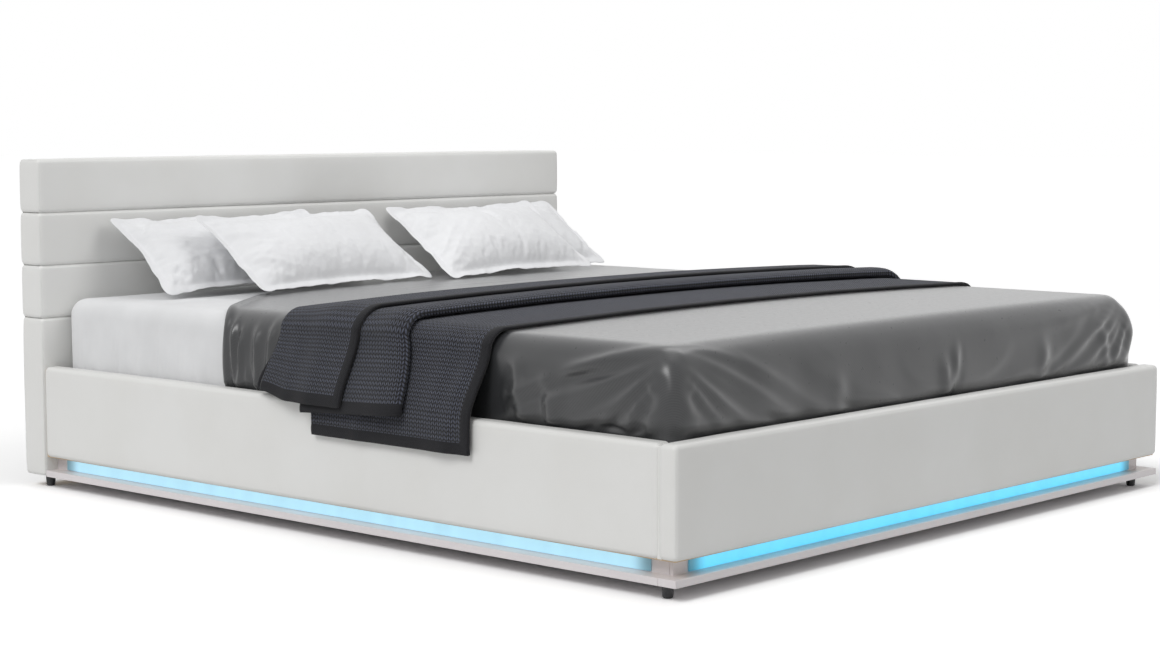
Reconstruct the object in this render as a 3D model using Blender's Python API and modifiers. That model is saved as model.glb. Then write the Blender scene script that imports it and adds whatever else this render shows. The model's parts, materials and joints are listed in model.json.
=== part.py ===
"""Upholstered storage bed with a lit plinth, modelled in Blender.

Metres, +Z up, +Y towards the headboard, X across the bed.
The origin is on the floor under the middle of the bed.
"""
import bpy
import bmesh
from math import acos, atan2, cos, exp, hypot, pi, radians, sin, sqrt
from mathutils import Matrix, Vector

# Overall sizes
bed_width = 1.900
bed_length = 2.146
panel_thickness = 0.045
rail_top = 0.308
foot_height = 0.030
plinth_board_thickness = 0.016
light_gap = 0.033
recess_depth = 0.036
headboard_overhang = 0.0025
headboard_depth = 0.084
headboard_top = 0.827
headboard_bottom = 0.0315

# Fits shared by all pieces
seat_gap = 0.0003
overrun = 0.010

# Upholstery: leather over foam, wrapped round timber cores
cover_thickness = 0.006
cover_edge_radius = 0.012
cover_return = 0.030
headboard_pad_thickness = 0.018
groove_radius = 0.007
headboard_bands = 4
band_arc_steps = 3
headboard_corner_radius = 0.012
groove_from_top = 0.133
groove_pitch = 0.132
headboard_back_thickness = 0.003

# Plinth, lights and feet
plinth_board_width = 0.100
plinth_wall_thickness = 0.009
led_thickness = 0.004
led_width = 0.026
led_below_rail = 0.005
led_end_margin = 0.045
foot_radius = 0.013
foot_tip_radius = 0.011
foot_round = 0.004
foot_inset = 0.0375
floor_panel_thickness = 0.005
floor_beam_width = 0.100
controller_length = 0.080
controller_height = 0.036
controller_depth = 0.022
controller_from_side = 0.120
controller_from_floor = 0.110
inlet_radius = 0.003
inlet_depth = 0.010

# Ledgers, battens and brackets of the box
ledger_width = 0.018
ledger_height = 0.031
batten_width = 0.062
batten_height = 0.025
batten_lever_gap = 0.009
bracket_leg = 0.050
bracket_plate = 0.003
bracket_height = 0.100
bracket_from_floor = 0.100
screw_head_radius = 0.005
screw_head_height = 0.002

# Platform: tube frame, slats and strap
tube_width = 0.040
tube_height = 0.025
tube_top = 0.240
platform_side_clearance = 0.030
platform_foot_clearance = 0.023
platform_head_clearance = 0.014
spine_width = 0.040
slat_rows = 10
slat_width = 0.068
slat_thickness = 0.008
slat_crown = 0.007
slat_cap_height = 0.014
slat_cap_width = 0.078
slat_end_margin = 0.120
slat_cap_length = 0.034
strap_width = 0.040
strap_thickness = 0.003
strap_drop = 0.020
strap_rise = 0.024

# Lift linkage, in side view: distance from the headboard's face, height above the floor
main_axle_from_head = 1.000
main_axle_height = 0.108
guide_axle_from_head = 0.860
guide_axle_height = 0.178
main_joint_from_head = 0.550
main_joint_height = 0.158
guide_joint_from_head = 0.483
guide_joint_height = 0.205
strut_axle_from_head = 0.800
strut_axle_height = 0.100
strut_joint_from_head = 0.961
strut_joint_height = 0.199
arm_thickness = 0.005
arm_end_radius = 0.014
arm_boss_radius = 0.016
arm_slot_length = 0.110
arm_slot_radius = 0.005
lever_radius = 0.011
pin_radius = 0.004
pin_clearance = 0.0004
open_joint_clearance = 0.0012
pin_head_radius = 0.008
pin_head_thickness = 0.002
layer_gap = 0.001
lift_plate_thickness = 0.006
lift_plate_radius = 0.020
plate_screw_hole = 0.003
bracket_thickness = 0.005
bracket_radius = 0.016
bracket_reach = 0.060
strut_cylinder_radius = 0.009
strut_rod_radius = 0.004
strut_bore_clearance = 0.0005
strut_eye_radius = 0.010
strut_rod_eye_radius = 0.0115
strut_eye_width = 0.012
strut_cylinder_length = 0.120
strut_collar_length = 0.006
strut_joint_clearance = 0.0055
strut_pin_radius = 0.003

# Bedding
mattress_top = 0.478
mattress_side_clearance = 0.015
mattress_foot_clearance = 0.0145
mattress_head_clearance = 0.010
mattress_edge_radius = 0.035
mattress_crown = 0.012
mattress_cell = 0.268
upward_share = 0.7
duvet_thickness = 0.009
duvet_hem_below_rail = 0.018
duvet_edge_radius = 0.040
duvet_cell = 0.140
duvet_fold_height = 0.0035
duvet_fold_reach = 0.300
duvet_fold_count = 3.5
duvet_hang_wave = 0.690
duvet_bulge = 0.003
duvet_turned_back = 0.675
duvet_edge_sweep_share = 1.35
duvet_edge_power = 0.95
duvet_edge_steps = 14
throw_thickness = 0.008
throw_loft_share = 1.2
throw_seat = 0.0006
throw_foot_edge = -0.545
throw_foot_hang_end = -0.035
throw_head_edge = 0.125
throw_roll_edge = -0.300
throw_top_edge = -0.175
throw_roll_thickness = 0.016
throw_layer_thickness = 0.009
throw_long_hem = 0.236
throw_short_hem = 0.316
throw_roll_hem = 0.300
throw_rail_gap = 0.0075
throw_corner_radius = 0.045
throw_step = 0.006
throw_turn_steps = 5
throw_lean_steps = 4
throw_hang_steps = 3
pillow_length = 0.660
pillow_height = 0.300
pillow_depth = 0.098
pillow_flange = 0.028
pillow_flange_thickness = 0.006
pillow_square_power = 2.6
pillow_swell_power = 0.55
pillow_pull_share = 0.45
pillow_back_place = 0.155
pillow_front_place = 0.317
pillow_back_left = -0.440
pillow_back_right = 0.540
pillow_front_left = -0.315
pillow_front_right = 0.335
pillow_back_lean = radians(54)
pillow_front_lean = radians(53)
pillow_left_turn = radians(6)
pillow_right_turn = radians(7)

# Places worked out from the sizes above
half_width = bed_width / 2
half_length = bed_length / 2
foot_face = -half_length
head_back = half_length
board_face = head_back - headboard_depth
inner_half = half_width - panel_thickness
foot_inner = foot_face + panel_thickness
plinth_top = foot_height + plinth_board_thickness
rail_bottom = plinth_top + light_gap
half_headboard = half_width + headboard_overhang
rail_foot_end = foot_inner + seat_gap
rail_head_end = board_face - seat_gap
wall_outer = half_width - recess_depth
wall_inner = wall_outer - 2 * plinth_wall_thickness
wall_top = rail_bottom - seat_gap

# Layers across the bed at each side, from the rail inwards
plate_outer = inner_half - seat_gap
plate_inner = plate_outer - lift_plate_thickness
guide_outer = plate_inner - pin_head_thickness - layer_gap
guide_inner = guide_outer - arm_thickness
main_outer = guide_inner - pin_head_thickness - layer_gap
main_inner = main_outer - arm_thickness
bracket_outer = main_inner - layer_gap
bracket_inner = bracket_outer - bracket_thickness
tube_outer = inner_half - platform_side_clearance
tube_inner = tube_outer - tube_width
tube_bottom = tube_top - tube_height
strut_middle = tube_outer - strut_cylinder_radius - layer_gap

platform_foot = foot_inner + platform_foot_clearance
platform_head = board_face - platform_head_clearance

mattress_half = inner_half - mattress_side_clearance
mattress_foot = foot_inner + mattress_foot_clearance
mattress_head = board_face - mattress_head_clearance
slat_low = tube_top + seat_gap
slat_top = slat_low + layer_gap + slat_thickness + slat_crown
mattress_bottom = slat_top + seat_gap
duvet_half = mattress_half + duvet_thickness
duvet_foot = mattress_foot - duvet_thickness
duvet_top = mattress_top + duvet_thickness
duvet_hem = rail_top - duvet_hem_below_rail


def side_point(from_head, height):
    """A point of the side view as world (y, z)."""
    return (board_face - from_head, height)


main_axle = side_point(main_axle_from_head, main_axle_height)
guide_axle = side_point(guide_axle_from_head, guide_axle_height)
main_joint = side_point(main_joint_from_head, main_joint_height)
guide_joint = side_point(guide_joint_from_head, guide_joint_height)
strut_axle = side_point(strut_axle_from_head, strut_axle_height)
strut_joint = side_point(strut_joint_from_head, strut_joint_height)

SIDES = (("left", -1), ("right", 1))


def clear_scene():
    for obj in list(bpy.data.objects):
        bpy.data.objects.remove(obj, do_unlink=True)


def make_collection(name):
    made = bpy.data.collections.new(name)
    bpy.context.scene.collection.children.link(made)
    return made


clear_scene()
PARTS = make_collection("storage_bed")
CUTTERS = make_collection("cutters")


def make_material(name, colour, roughness, metallic=0.0):
    made = bpy.data.materials.new(name)
    made.use_nodes = True
    shader = made.node_tree.nodes["Principled BSDF"]
    shader.inputs["Base Color"].default_value = (*colour, 1.0)
    shader.inputs["Roughness"].default_value = roughness
    shader.inputs["Metallic"].default_value = metallic
    return made


LEATHER = make_material("white_leather", (0.78, 0.78, 0.76), 0.45)
TIMBER = make_material("pale_timber", (0.62, 0.47, 0.30), 0.60)
BOARD = make_material("white_board", (0.74, 0.70, 0.72), 0.40)
PANEL = make_material("grey_panel", (0.30, 0.30, 0.31), 0.70)
BACKING = make_material("black_backing", (0.03, 0.03, 0.03), 0.90)
STEEL = make_material("black_steel", (0.03, 0.03, 0.035), 0.40, 0.6)
CHROME = make_material("bright_steel", (0.60, 0.60, 0.62), 0.20, 1.0)
RUBBER = make_material("black_foot", (0.02, 0.02, 0.02), 0.50)
LIGHT = make_material("cyan_light", (0.20, 0.85, 1.00), 0.30)
HOUSING = make_material("white_housing", (0.80, 0.80, 0.80), 0.40)
SLAT = make_material("birch_slat", (0.70, 0.55, 0.36), 0.45)
WEBBING = make_material("grey_webbing", (0.15, 0.15, 0.16), 0.85)
TICKING = make_material("mattress_ticking", (0.85, 0.85, 0.86), 0.80)
SATIN = make_material("grey_satin", (0.22, 0.23, 0.24), 0.45)
KNIT = make_material("charcoal_knit", (0.06, 0.065, 0.09), 0.95)
LINEN = make_material("white_linen", (0.86, 0.87, 0.90), 0.80)


def add_object(name, mesh, material, cutter=False):
    made = bpy.data.objects.new(name, mesh)
    if cutter:
        made.hide_render = True
        made.display_type = "WIRE"
        CUTTERS.objects.link(made)
    else:
        made.data.materials.append(material)
        PARTS.objects.link(made)
    return made


def add_box(name, low, high, material=None, cutter=False):
    """A box between two corners; its origin is its middle."""
    low, high = Vector(low), Vector(high)
    shape = bmesh.new()
    bmesh.ops.create_cube(shape, size=1.0, matrix=Matrix.Diagonal((*(high - low), 1.0)))
    mesh = bpy.data.meshes.new(name)
    shape.to_mesh(mesh)
    shape.free()
    made = add_object(name, mesh, material, cutter)
    made.location = (low + high) / 2
    return made


def add_round(name, centre, radius, length, axis, material=None, cutter=False, sides=20, tip=None):
    """A cylinder, or a cone with another radius at its far end, along one axis."""
    shape = bmesh.new()
    bmesh.ops.create_cone(shape, cap_ends=True, segments=sides, radius1=radius,
                          radius2=radius if tip is None else tip, depth=length)
    mesh = bpy.data.meshes.new(name)
    shape.to_mesh(mesh)
    shape.free()
    made = add_object(name, mesh, material, cutter)
    made.location = centre
    made.rotation_euler = {"X": (0, radians(90), 0), "Y": (radians(-90), 0, 0), "Z": (0, 0, 0)}[axis]
    return made


def side_range(side, inner, outer):
    """The x values of a layer between two distances from the middle."""
    return (min(side * inner, side * outer), max(side * inner, side * outer))


def distance(first, second):
    """How far apart two points of the side view are."""
    return hypot(second[0] - first[0], second[1] - first[1])


def combine(target, tool, operation):
    step = target.modifiers.new(tool.name, "BOOLEAN")
    step.operation = operation
    step.solver = "EXACT"
    step.object = tool
    return target


def cut(target, *tools):
    for tool in tools:
        combine(target, tool, "DIFFERENCE")
    return target


def join(target, *tools):
    for tool in tools:
        combine(target, tool, "UNION")
    return target


def round_edges(target, radius, segments=3, angle=30):
    bevel = target.modifiers.new("round_edges", "BEVEL")
    bevel.width = radius
    bevel.segments = segments
    bevel.limit_method = "ANGLE"
    bevel.angle_limit = radians(angle)
    return target


def hull_outline(circles, arc_steps=5):
    """The outline round circles (y, z, radius), given anticlockwise, as arcs and tangents."""
    count = len(circles)
    normals = []
    for index in range(count):
        y0, z0, r0 = circles[index]
        y1, z1, r1 = circles[(index + 1) % count]
        normals.append(atan2(z1 - z0, y1 - y0) - acos((r0 - r1) / hypot(y1 - y0, z1 - z0)))
    points = []
    for index in range(count):
        y, z, radius = circles[index]
        start, end = normals[index - 1], normals[index]
        while end < start:
            end += 2 * pi
        for step in range(arc_steps + 1):
            angle = start + (end - start) * step / arc_steps
            points.append((y + radius * cos(angle), z + radius * sin(angle)))
    return points


def circle_outline(centre, radius, sides=12):
    return [(centre[0] + radius * cos(2 * pi * step / sides),
             centre[1] + radius * sin(2 * pi * step / sides)) for step in range(sides)]


def filled_curve(name, outlines, origin, thickness):
    """Closed outlines, the inner ones holes, as a curve that is filled and extruded."""
    curve = bpy.data.curves.new(name, "CURVE")
    curve.dimensions = "2D"
    curve.fill_mode = "BOTH"
    curve.extrude = thickness / 2
    for outline in outlines:
        spline = curve.splines.new("POLY")
        spline.points.add(len(outline) - 1)
        spline.use_cyclic_u = True
        for point, (first, second) in zip(spline.points, outline):
            point.co = (first - origin[0], second - origin[1], 0, 1)
    made = bpy.data.objects.new(name, curve)
    CUTTERS.objects.link(made)
    return made


def side_plate(name, outlines, origin, x_range, material, cutter=False):
    """A plate in the side view, with its holes, across a range of X."""
    made = filled_curve(name, outlines, origin, x_range[1] - x_range[0])
    made.location = ((x_range[0] + x_range[1]) / 2, *origin)
    made.rotation_euler = (radians(90), 0, radians(90))
    return as_mesh(made, material, cutter)


def as_mesh(source, material=None, cutter=False):
    """Turn a curve object into a closed mesh object with the same name and place."""
    bpy.context.view_layer.update()
    evaluated = source.evaluated_get(bpy.context.evaluated_depsgraph_get())
    mesh = bpy.data.meshes.new_from_object(evaluated)
    place = source.matrix_world.copy()
    name = source.name
    bpy.data.objects.remove(source, do_unlink=True)
    shape = bmesh.new()
    shape.from_mesh(mesh)
    bmesh.ops.remove_doubles(shape, verts=shape.verts, dist=seat_gap / 10)
    bmesh.ops.recalc_face_normals(shape, faces=shape.faces)
    shape.to_mesh(mesh)
    shape.free()
    mesh.materials.clear()
    made = add_object(name, mesh, material, cutter)
    made.matrix_world = place
    return made


# Upholstered box: foot panel and side rails

def build_foot_panel():
    low = (-half_width, foot_face, rail_bottom)
    high = (half_width, foot_inner, rail_top)
    skin = cover_thickness
    core = add_box("foot_panel_core",
                   (low[0] + skin + seat_gap, low[1] + skin + seat_gap, low[2] + seat_gap),
                   (high[0] - skin - seat_gap, high[1], high[2] - skin - seat_gap), TIMBER)
    rabbet = add_box("foot_panel_rabbet",
                     (-bed_width, foot_inner - skin - seat_gap, rail_top - cover_return - seat_gap),
                     (bed_width, foot_inner + overrun, rail_top + overrun), cutter=True)
    cut(core, rabbet)
    cover = add_box("foot_panel_cover", low, high, LEATHER)
    round_edges(cover, cover_edge_radius)
    hollow = add_box("foot_panel_hollow", (low[0] + skin, low[1] + skin, low[2] - overrun),
                     (high[0] - skin, high[1] - skin, high[2] - skin), cutter=True)
    mouth = add_box("foot_panel_mouth", (low[0] + skin, foot_face + skin, low[2] - overrun),
                    (high[0] - skin, foot_inner + overrun, rail_top - cover_return), cutter=True)
    cut(cover, hollow, mouth)


def build_rail(side_name, side):
    skin = cover_thickness
    name = "side_rail_" + side_name
    x_low, x_high = side_range(side, inner_half, half_width - skin - seat_gap)
    core = add_box(name + "_core", (x_low, rail_foot_end, rail_bottom + seat_gap),
                   (x_high, rail_head_end, rail_top - skin - seat_gap), TIMBER)
    x_low, x_high = side_range(side, inner_half - overrun, inner_half + skin + seat_gap)
    rabbet = add_box(name + "_rabbet", (x_low, foot_face, rail_top - cover_return - seat_gap),
                     (x_high, head_back, rail_top + overrun), cutter=True)
    cut(core, rabbet)
    plate_ends = (lift_plate_low_end() - ledger_width, lift_plate_high_end() + ledger_width)
    ledger_x = side_range(side, inner_half - ledger_width, inner_half + ledger_width)
    for index, (start, end) in enumerate(((rail_foot_end + bracket_leg, plate_ends[0]),
                                          (plate_ends[1], rail_head_end - bracket_leg))):
        ledger = add_box(f"{name}_ledger_{index}", (ledger_x[0], start, rail_bottom + seat_gap),
                         (ledger_x[1], end, rail_bottom + ledger_height), cutter=True)
        join(core, ledger)
    batten_x = side_range(side, inner_half - batten_width, inner_half + ledger_width)
    batten_top = tube_bottom - seat_gap
    batten_start = rail_foot_end + bracket_leg + ledger_width
    lever_sweep = distance(main_axle, strut_joint) + lever_radius
    batten_end = main_axle[0] - lever_sweep - batten_lever_gap
    batten = add_box(name + "_batten", (batten_x[0], batten_start, batten_top - batten_height),
                     (batten_x[1], batten_end, batten_top), cutter=True)
    join(core, batten)

    x_low, x_high = side_range(side, inner_half, half_width)
    cover = add_box(name + "_cover", (x_low, rail_foot_end, rail_bottom),
                    (x_high, rail_head_end, rail_top), LEATHER)
    round_edges(cover, cover_edge_radius)
    hollow_x = side_range(side, inner_half + skin, half_width - skin)
    mouth_x = side_range(side, inner_half - overrun, half_width - skin)
    hollow = add_box(name + "_hollow", (hollow_x[0], foot_face, rail_bottom - overrun),
                     (hollow_x[1], head_back, rail_top - skin), cutter=True)
    mouth = add_box(name + "_mouth", (mouth_x[0], foot_face, rail_bottom - overrun),
                    (mouth_x[1], head_back, rail_top - cover_return), cutter=True)
    cut(cover, hollow, mouth)


# Headboard: a core in a padded cover with sewn channels, and a cloth back

def band_edges():
    """Heights where the headboard's bands meet, from the top down."""
    grooves = [headboard_top - groove_from_top - groove_pitch * index
               for index in range(headboard_bands - 1)]
    return [headboard_top, *grooves, headboard_bottom]


def quarter_turns():
    return [radians(90) * step / band_arc_steps for step in range(band_arc_steps + 1)]


def cover_levels():
    """Heights of the cover's outlines and how far each is drawn in, from the bottom up."""
    arc = [(groove_radius * (1 - cos(turn)), groove_radius * (1 - sin(turn)))
           for turn in quarter_turns()]
    edges = band_edges()[::-1]
    levels = [(edges[0], groove_radius)]
    for bottom, top in zip(edges, edges[1:]):
        levels += [(bottom + rise, inset) for rise, inset in arc[1:]]
        levels += [(top - rise, inset) for rise, inset in arc[::-1]]
    return levels


def cover_outline(inset, back):
    """The cover seen from above, from one back corner round the front to the other."""
    radius = headboard_corner_radius - inset
    middle_x = half_headboard - headboard_corner_radius
    middle_y = board_face + headboard_corner_radius
    right = [(middle_x + radius * cos(turn), middle_y - radius * sin(turn))
             for turn in quarter_turns()]
    half = [(half_headboard - inset, back), *right]
    return half + [(-x, y) for x, y in reversed(half)]


def build_headboard():
    pad = headboard_pad_thickness
    core_side = half_headboard - pad / 2
    core_top = headboard_top - pad
    back_top = core_top + pad / 2
    core_back = head_back - headboard_back_thickness - 2 * seat_gap
    cover_back = head_back - seat_gap
    add_box("headboard_core", (-core_side, board_face + pad, headboard_bottom + seat_gap),
            (core_side, core_back, core_top), TIMBER)
    add_box("headboard_back", (-core_side, core_back + seat_gap, headboard_bottom + seat_gap),
            (core_side, head_back, back_top), BACKING)

    shape = bmesh.new()
    rings = []
    top_round = headboard_top - groove_radius
    for height, inset in cover_levels():
        back = cover_back - inset if height > top_round else cover_back
        rings.append([shape.verts.new((x, y, height)) for x, y in cover_outline(inset, back)])
    for lower, upper in zip(rings, rings[1:]):
        for index in range(len(lower)):
            shape.faces.new((lower[index - 1], lower[index], upper[index], upper[index - 1]))
    shape.faces.new(rings[0])
    shape.faces.new(rings[-1])
    bmesh.ops.recalc_face_normals(shape, faces=shape.faces)
    mesh = bpy.data.meshes.new("headboard_cover")
    shape.to_mesh(mesh)
    shape.free()
    cover = add_object("headboard_cover", mesh, LEATHER)
    room_side = core_side + seat_gap
    room = [(board_face + pad - seat_gap, headboard_bottom - overrun),
            (head_back + overrun, headboard_bottom - overrun),
            (head_back + overrun, back_top + seat_gap), (core_back, back_top + seat_gap),
            (core_back, core_top + seat_gap), (board_face + pad - seat_gap, core_top + seat_gap)]
    cut(cover, side_plate("headboard_room", [room], (board_face, core_top),
                          (-room_side, room_side), None, cutter=True))


# Plinth: boards, recessed walls, lights, feet and the box floor

def build_plinth():
    board_low, board_high = foot_height, plinth_top
    for side_name, side in SIDES:
        x_low, x_high = side_range(side, half_width - plinth_board_width, half_width)
        board = add_box("skirt_" + side_name, (x_low, rail_foot_end, board_low),
                        (x_high, rail_head_end, board_high), BOARD)
        wall_x = side_range(side, wall_inner, wall_outer)
        wall = add_box(f"skirt_{side_name}_wall", (wall_x[0], rail_foot_end, board_low + seat_gap),
                       (wall_x[1], rail_head_end, wall_top), cutter=True)
        join(board, wall)
    shelf_side = half_width - plinth_board_width - seat_gap
    board = add_box("skirt_foot", (-half_width, foot_face, board_low),
                    (half_width, foot_inner, board_high), BOARD)
    shelf = add_box("skirt_foot_shelf", (-shelf_side, foot_inner - overrun, board_low),
                    (shelf_side, foot_inner + plinth_board_width - panel_thickness, board_high),
                    cutter=True)
    wall = add_box("skirt_foot_wall", (-wall_outer, foot_face + recess_depth, board_low + seat_gap),
                   (wall_outer, foot_inner, wall_top), cutter=True)
    join(board, shelf, wall)


def build_lights():
    top = rail_bottom - led_below_rail
    for side_name, side in SIDES:
        x_low, x_high = side_range(side, wall_outer + seat_gap, wall_outer + led_thickness)
        strip = add_box("led_strip_" + side_name,
                        (x_low, rail_foot_end + led_end_margin, top - led_width),
                        (x_high, rail_head_end - led_end_margin, top), LIGHT)
        round_edges(strip, led_thickness / 4, segments=1)
    face = foot_face + recess_depth
    strip = add_box("led_strip_foot",
                    (-wall_outer + led_end_margin, face - led_thickness, top - led_width),
                    (wall_outer - led_end_margin, face - seat_gap, top), LIGHT)
    round_edges(strip, led_thickness / 4, segments=1)
    outer = -half_width + controller_from_side
    body = add_box("led_controller",
                   (outer, board_face - controller_depth - seat_gap, controller_from_floor),
                   (outer + controller_length, board_face - seat_gap,
                    controller_from_floor + controller_height), HOUSING)
    round_edges(body, controller_depth / 8, segments=2)
    inlet = add_round("led_controller_inlet",
                      (outer, board_face - controller_depth / 2,
                       controller_from_floor + controller_height / 2),
                      inlet_radius, 2 * inlet_depth, "X", cutter=True)
    cut(body, inlet)


def build_foot(name, x, y, top):
    """A turned foot: a taper from the seat to a rounded tip on the floor."""
    height = top - seat_gap
    profile = [(0, height), (foot_radius, height), (foot_tip_radius, foot_round)]
    profile += [(foot_tip_radius - foot_round + foot_round * cos(angle),
                 foot_round - foot_round * sin(angle)) for angle in (radians(30), radians(60))]
    profile += [(foot_tip_radius - foot_round, 0), (0, 0)]
    mesh = bpy.data.meshes.new(name)
    shape = bmesh.new()
    verts = [shape.verts.new((radius, 0, z)) for radius, z in profile]
    for first, second in zip(verts, verts[1:]):
        shape.edges.new((first, second))
    shape.to_mesh(mesh)
    shape.free()
    made = add_object(name, mesh, RUBBER)
    made.location = (x, y, 0)
    turn = made.modifiers.new("turn", "SCREW")
    turn.steps = 20
    turn.render_steps = 20
    turn.use_merge_vertices = True
    turn.merge_threshold = 0.0001


def build_feet():
    for side_name, side in SIDES:
        x = side * (half_width - foot_inset)
        build_foot("front_foot_" + side_name, x, foot_face + foot_inset + foot_radius, foot_height)
        build_foot("rear_foot_" + side_name, x, head_back - foot_inset - foot_radius,
                   headboard_bottom)


def build_box_floor():
    beam_start = foot_inner + plinth_board_width - panel_thickness + seat_gap
    beam = add_box("floor_beam", (-floor_beam_width / 2, beam_start, foot_height),
                   (floor_beam_width / 2, rail_head_end, plinth_top), TIMBER)
    leg = add_round("floor_beam_leg", (0, 0, (foot_height + seat_gap) / 2), foot_radius,
                    foot_height + seat_gap, "Z", cutter=True)
    join(beam, leg)
    low = plinth_top + seat_gap
    for side_name, side in SIDES:
        x_low, x_high = side_range(side, seat_gap, wall_inner - seat_gap)
        add_box("floor_panel_" + side_name, (x_low, foot_inner + seat_gap, low),
                (x_high, rail_head_end, low + floor_panel_thickness), PANEL)


def build_corner_bracket(name, side, end):
    """An angle plate in the corner between a rail and the foot panel or headboard."""
    face = foot_inner if end < 0 else board_face
    inward = -end
    x_rail = side_range(side, inner_half - seat_gap - bracket_plate, inner_half - seat_gap)
    x_panel = side_range(side, inner_half - seat_gap - bracket_leg, inner_half - seat_gap)
    near = face + inward * seat_gap
    low, high = bracket_from_floor, bracket_from_floor + bracket_height
    rail_y = sorted((near, near + inward * bracket_leg))
    panel_y = sorted((near, near + inward * bracket_plate))
    leg = add_box(name, (x_rail[0], rail_y[0], low), (x_rail[1], rail_y[1], high), STEEL)
    plate = add_box(name + "_plate", (x_panel[0], panel_y[0], low), (x_panel[1], panel_y[1], high),
                    cutter=True)
    join(leg, plate)
    head_x = side * (inner_half - seat_gap - bracket_plate)
    for index, share in enumerate((1 / 4, 3 / 4)):
        height = low + bracket_height * share
        on_rail = add_round(f"{name}_rail_screw_{index}",
                            (head_x, near + inward * bracket_leg * 3 / 5, height),
                            screw_head_radius, 2 * screw_head_height, "X", cutter=True, sides=10)
        on_panel = add_round(f"{name}_panel_screw_{index}",
                             (side * (inner_half - bracket_leg * 3 / 5),
                              near + inward * bracket_plate, height),
                             screw_head_radius, 2 * screw_head_height, "Y", cutter=True, sides=10)
        join(leg, on_rail, on_panel)


def build_brackets():
    for side_name, side in SIDES:
        build_corner_bracket("corner_bracket_foot_" + side_name, side, -1)
        build_corner_bracket("corner_bracket_head_" + side_name, side, 1)


# Lift linkage

def lift_plate_low_end():
    return main_axle[0] - lift_plate_radius


def lift_plate_high_end():
    return strut_axle[0] + lift_plate_radius


def pin(name, place, start, end, side, radius=None):
    """A pin across the layers between two distances from the middle."""
    x_low, x_high = side_range(side, start, end)
    return add_round(name, ((x_low + x_high) / 2, *place), radius or pin_radius,
                     x_high - x_low, "X", cutter=True, sides=12)


def build_lift_plate(side_name, side):
    name = "lift_plate_" + side_name
    radius = lift_plate_radius
    outline = hull_outline([(*main_axle, radius), (*strut_axle, radius), (*guide_axle, radius)])
    middle = [(main_axle[i] + strut_axle[i] + guide_axle[i]) / 3 for i in (0, 1)]
    corners = (main_axle, strut_axle, guide_axle)
    holes = [circle_outline([(corner[i] + middle[i]) / 2 for i in (0, 1)], plate_screw_hole, 10)
             for corner in corners]
    plate = side_plate(name, [outline, *holes], middle, side_range(side, plate_inner, plate_outer),
                       STEEL)
    root = plate_inner + lift_plate_thickness / 2
    pins = [("main", main_axle, bracket_outer - pin_head_thickness, main_inner - pin_clearance),
            ("guide", guide_axle, guide_inner - pin_clearance - pin_head_thickness,
             guide_inner - pin_clearance)]
    for label, place, head_inner, head_outer in pins:
        join(plate, pin(f"{name}_{label}_pin", place, head_inner + pin_head_thickness / 2, root, side),
             pin(f"{name}_{label}_head", place, head_inner, head_outer, side, pin_head_radius))
    strut_inner = strut_middle - strut_eye_width / 2
    head_outer = strut_inner - pin_clearance
    join(plate, pin(name + "_strut_pin", strut_axle, head_outer - pin_head_thickness / 2, root, side),
         pin(name + "_strut_head", strut_axle, head_outer - pin_head_thickness, head_outer, side,
             pin_head_radius),
         pin(name + "_strut_spacer", strut_axle,
             strut_middle + strut_eye_width / 2 + pin_clearance, root, side, pin_head_radius))


def slot_outline(start, end, radius):
    return hull_outline([(*start, radius), (*end, radius)], arc_steps=6)


def along(first, second, run):
    """The point that lies a run away from the first point, towards the second."""
    share = run / distance(first, second)
    return [first[i] + (second[i] - first[i]) * share for i in (0, 1)]


def build_arms(side_name, side):
    hole = pin_radius + pin_clearance
    lever_hull = hull_outline([(*strut_joint, lever_radius), (*main_joint, arm_end_radius),
                               (*main_axle, arm_boss_radius)][::-1])
    slot_start = along(main_joint, main_axle, 3 * arm_boss_radius)
    slot_end = along(main_joint, main_axle, 3 * arm_boss_radius + arm_slot_length)
    main_x = side_range(side, main_inner, main_outer)
    main = side_plate("main_arm_" + side_name,
                      [lever_hull, circle_outline(main_axle, hole),
                       circle_outline(main_joint, hole),
                       slot_outline(slot_start, slot_end, arm_slot_radius)],
                      main_axle, main_x, STEEL)
    root = main_inner + arm_thickness / 2
    strut_inner = strut_middle - strut_eye_width / 2
    head_outer = strut_inner - pin_clearance
    join(main, pin(f"main_arm_{side_name}_strut_pin", strut_joint,
                   head_outer - pin_head_thickness / 2, root, side, strut_pin_radius),
         pin(f"main_arm_{side_name}_strut_head", strut_joint, head_outer - pin_head_thickness,
             head_outer, side, strut_rod_eye_radius))

    slot_start = along(guide_joint, guide_axle, 3 * arm_boss_radius)
    slot_end = along(guide_joint, guide_axle, 3 * arm_boss_radius + arm_slot_length)
    side_plate("guide_arm_" + side_name,
               [hull_outline([(*guide_axle, arm_boss_radius), (*guide_joint, arm_end_radius)]),
                circle_outline(guide_axle, hole),
                circle_outline(guide_joint, hole + open_joint_clearance),
                slot_outline(slot_start, slot_end, arm_slot_radius)],
               guide_axle, side_range(side, guide_inner, guide_outer), STEEL)


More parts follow.
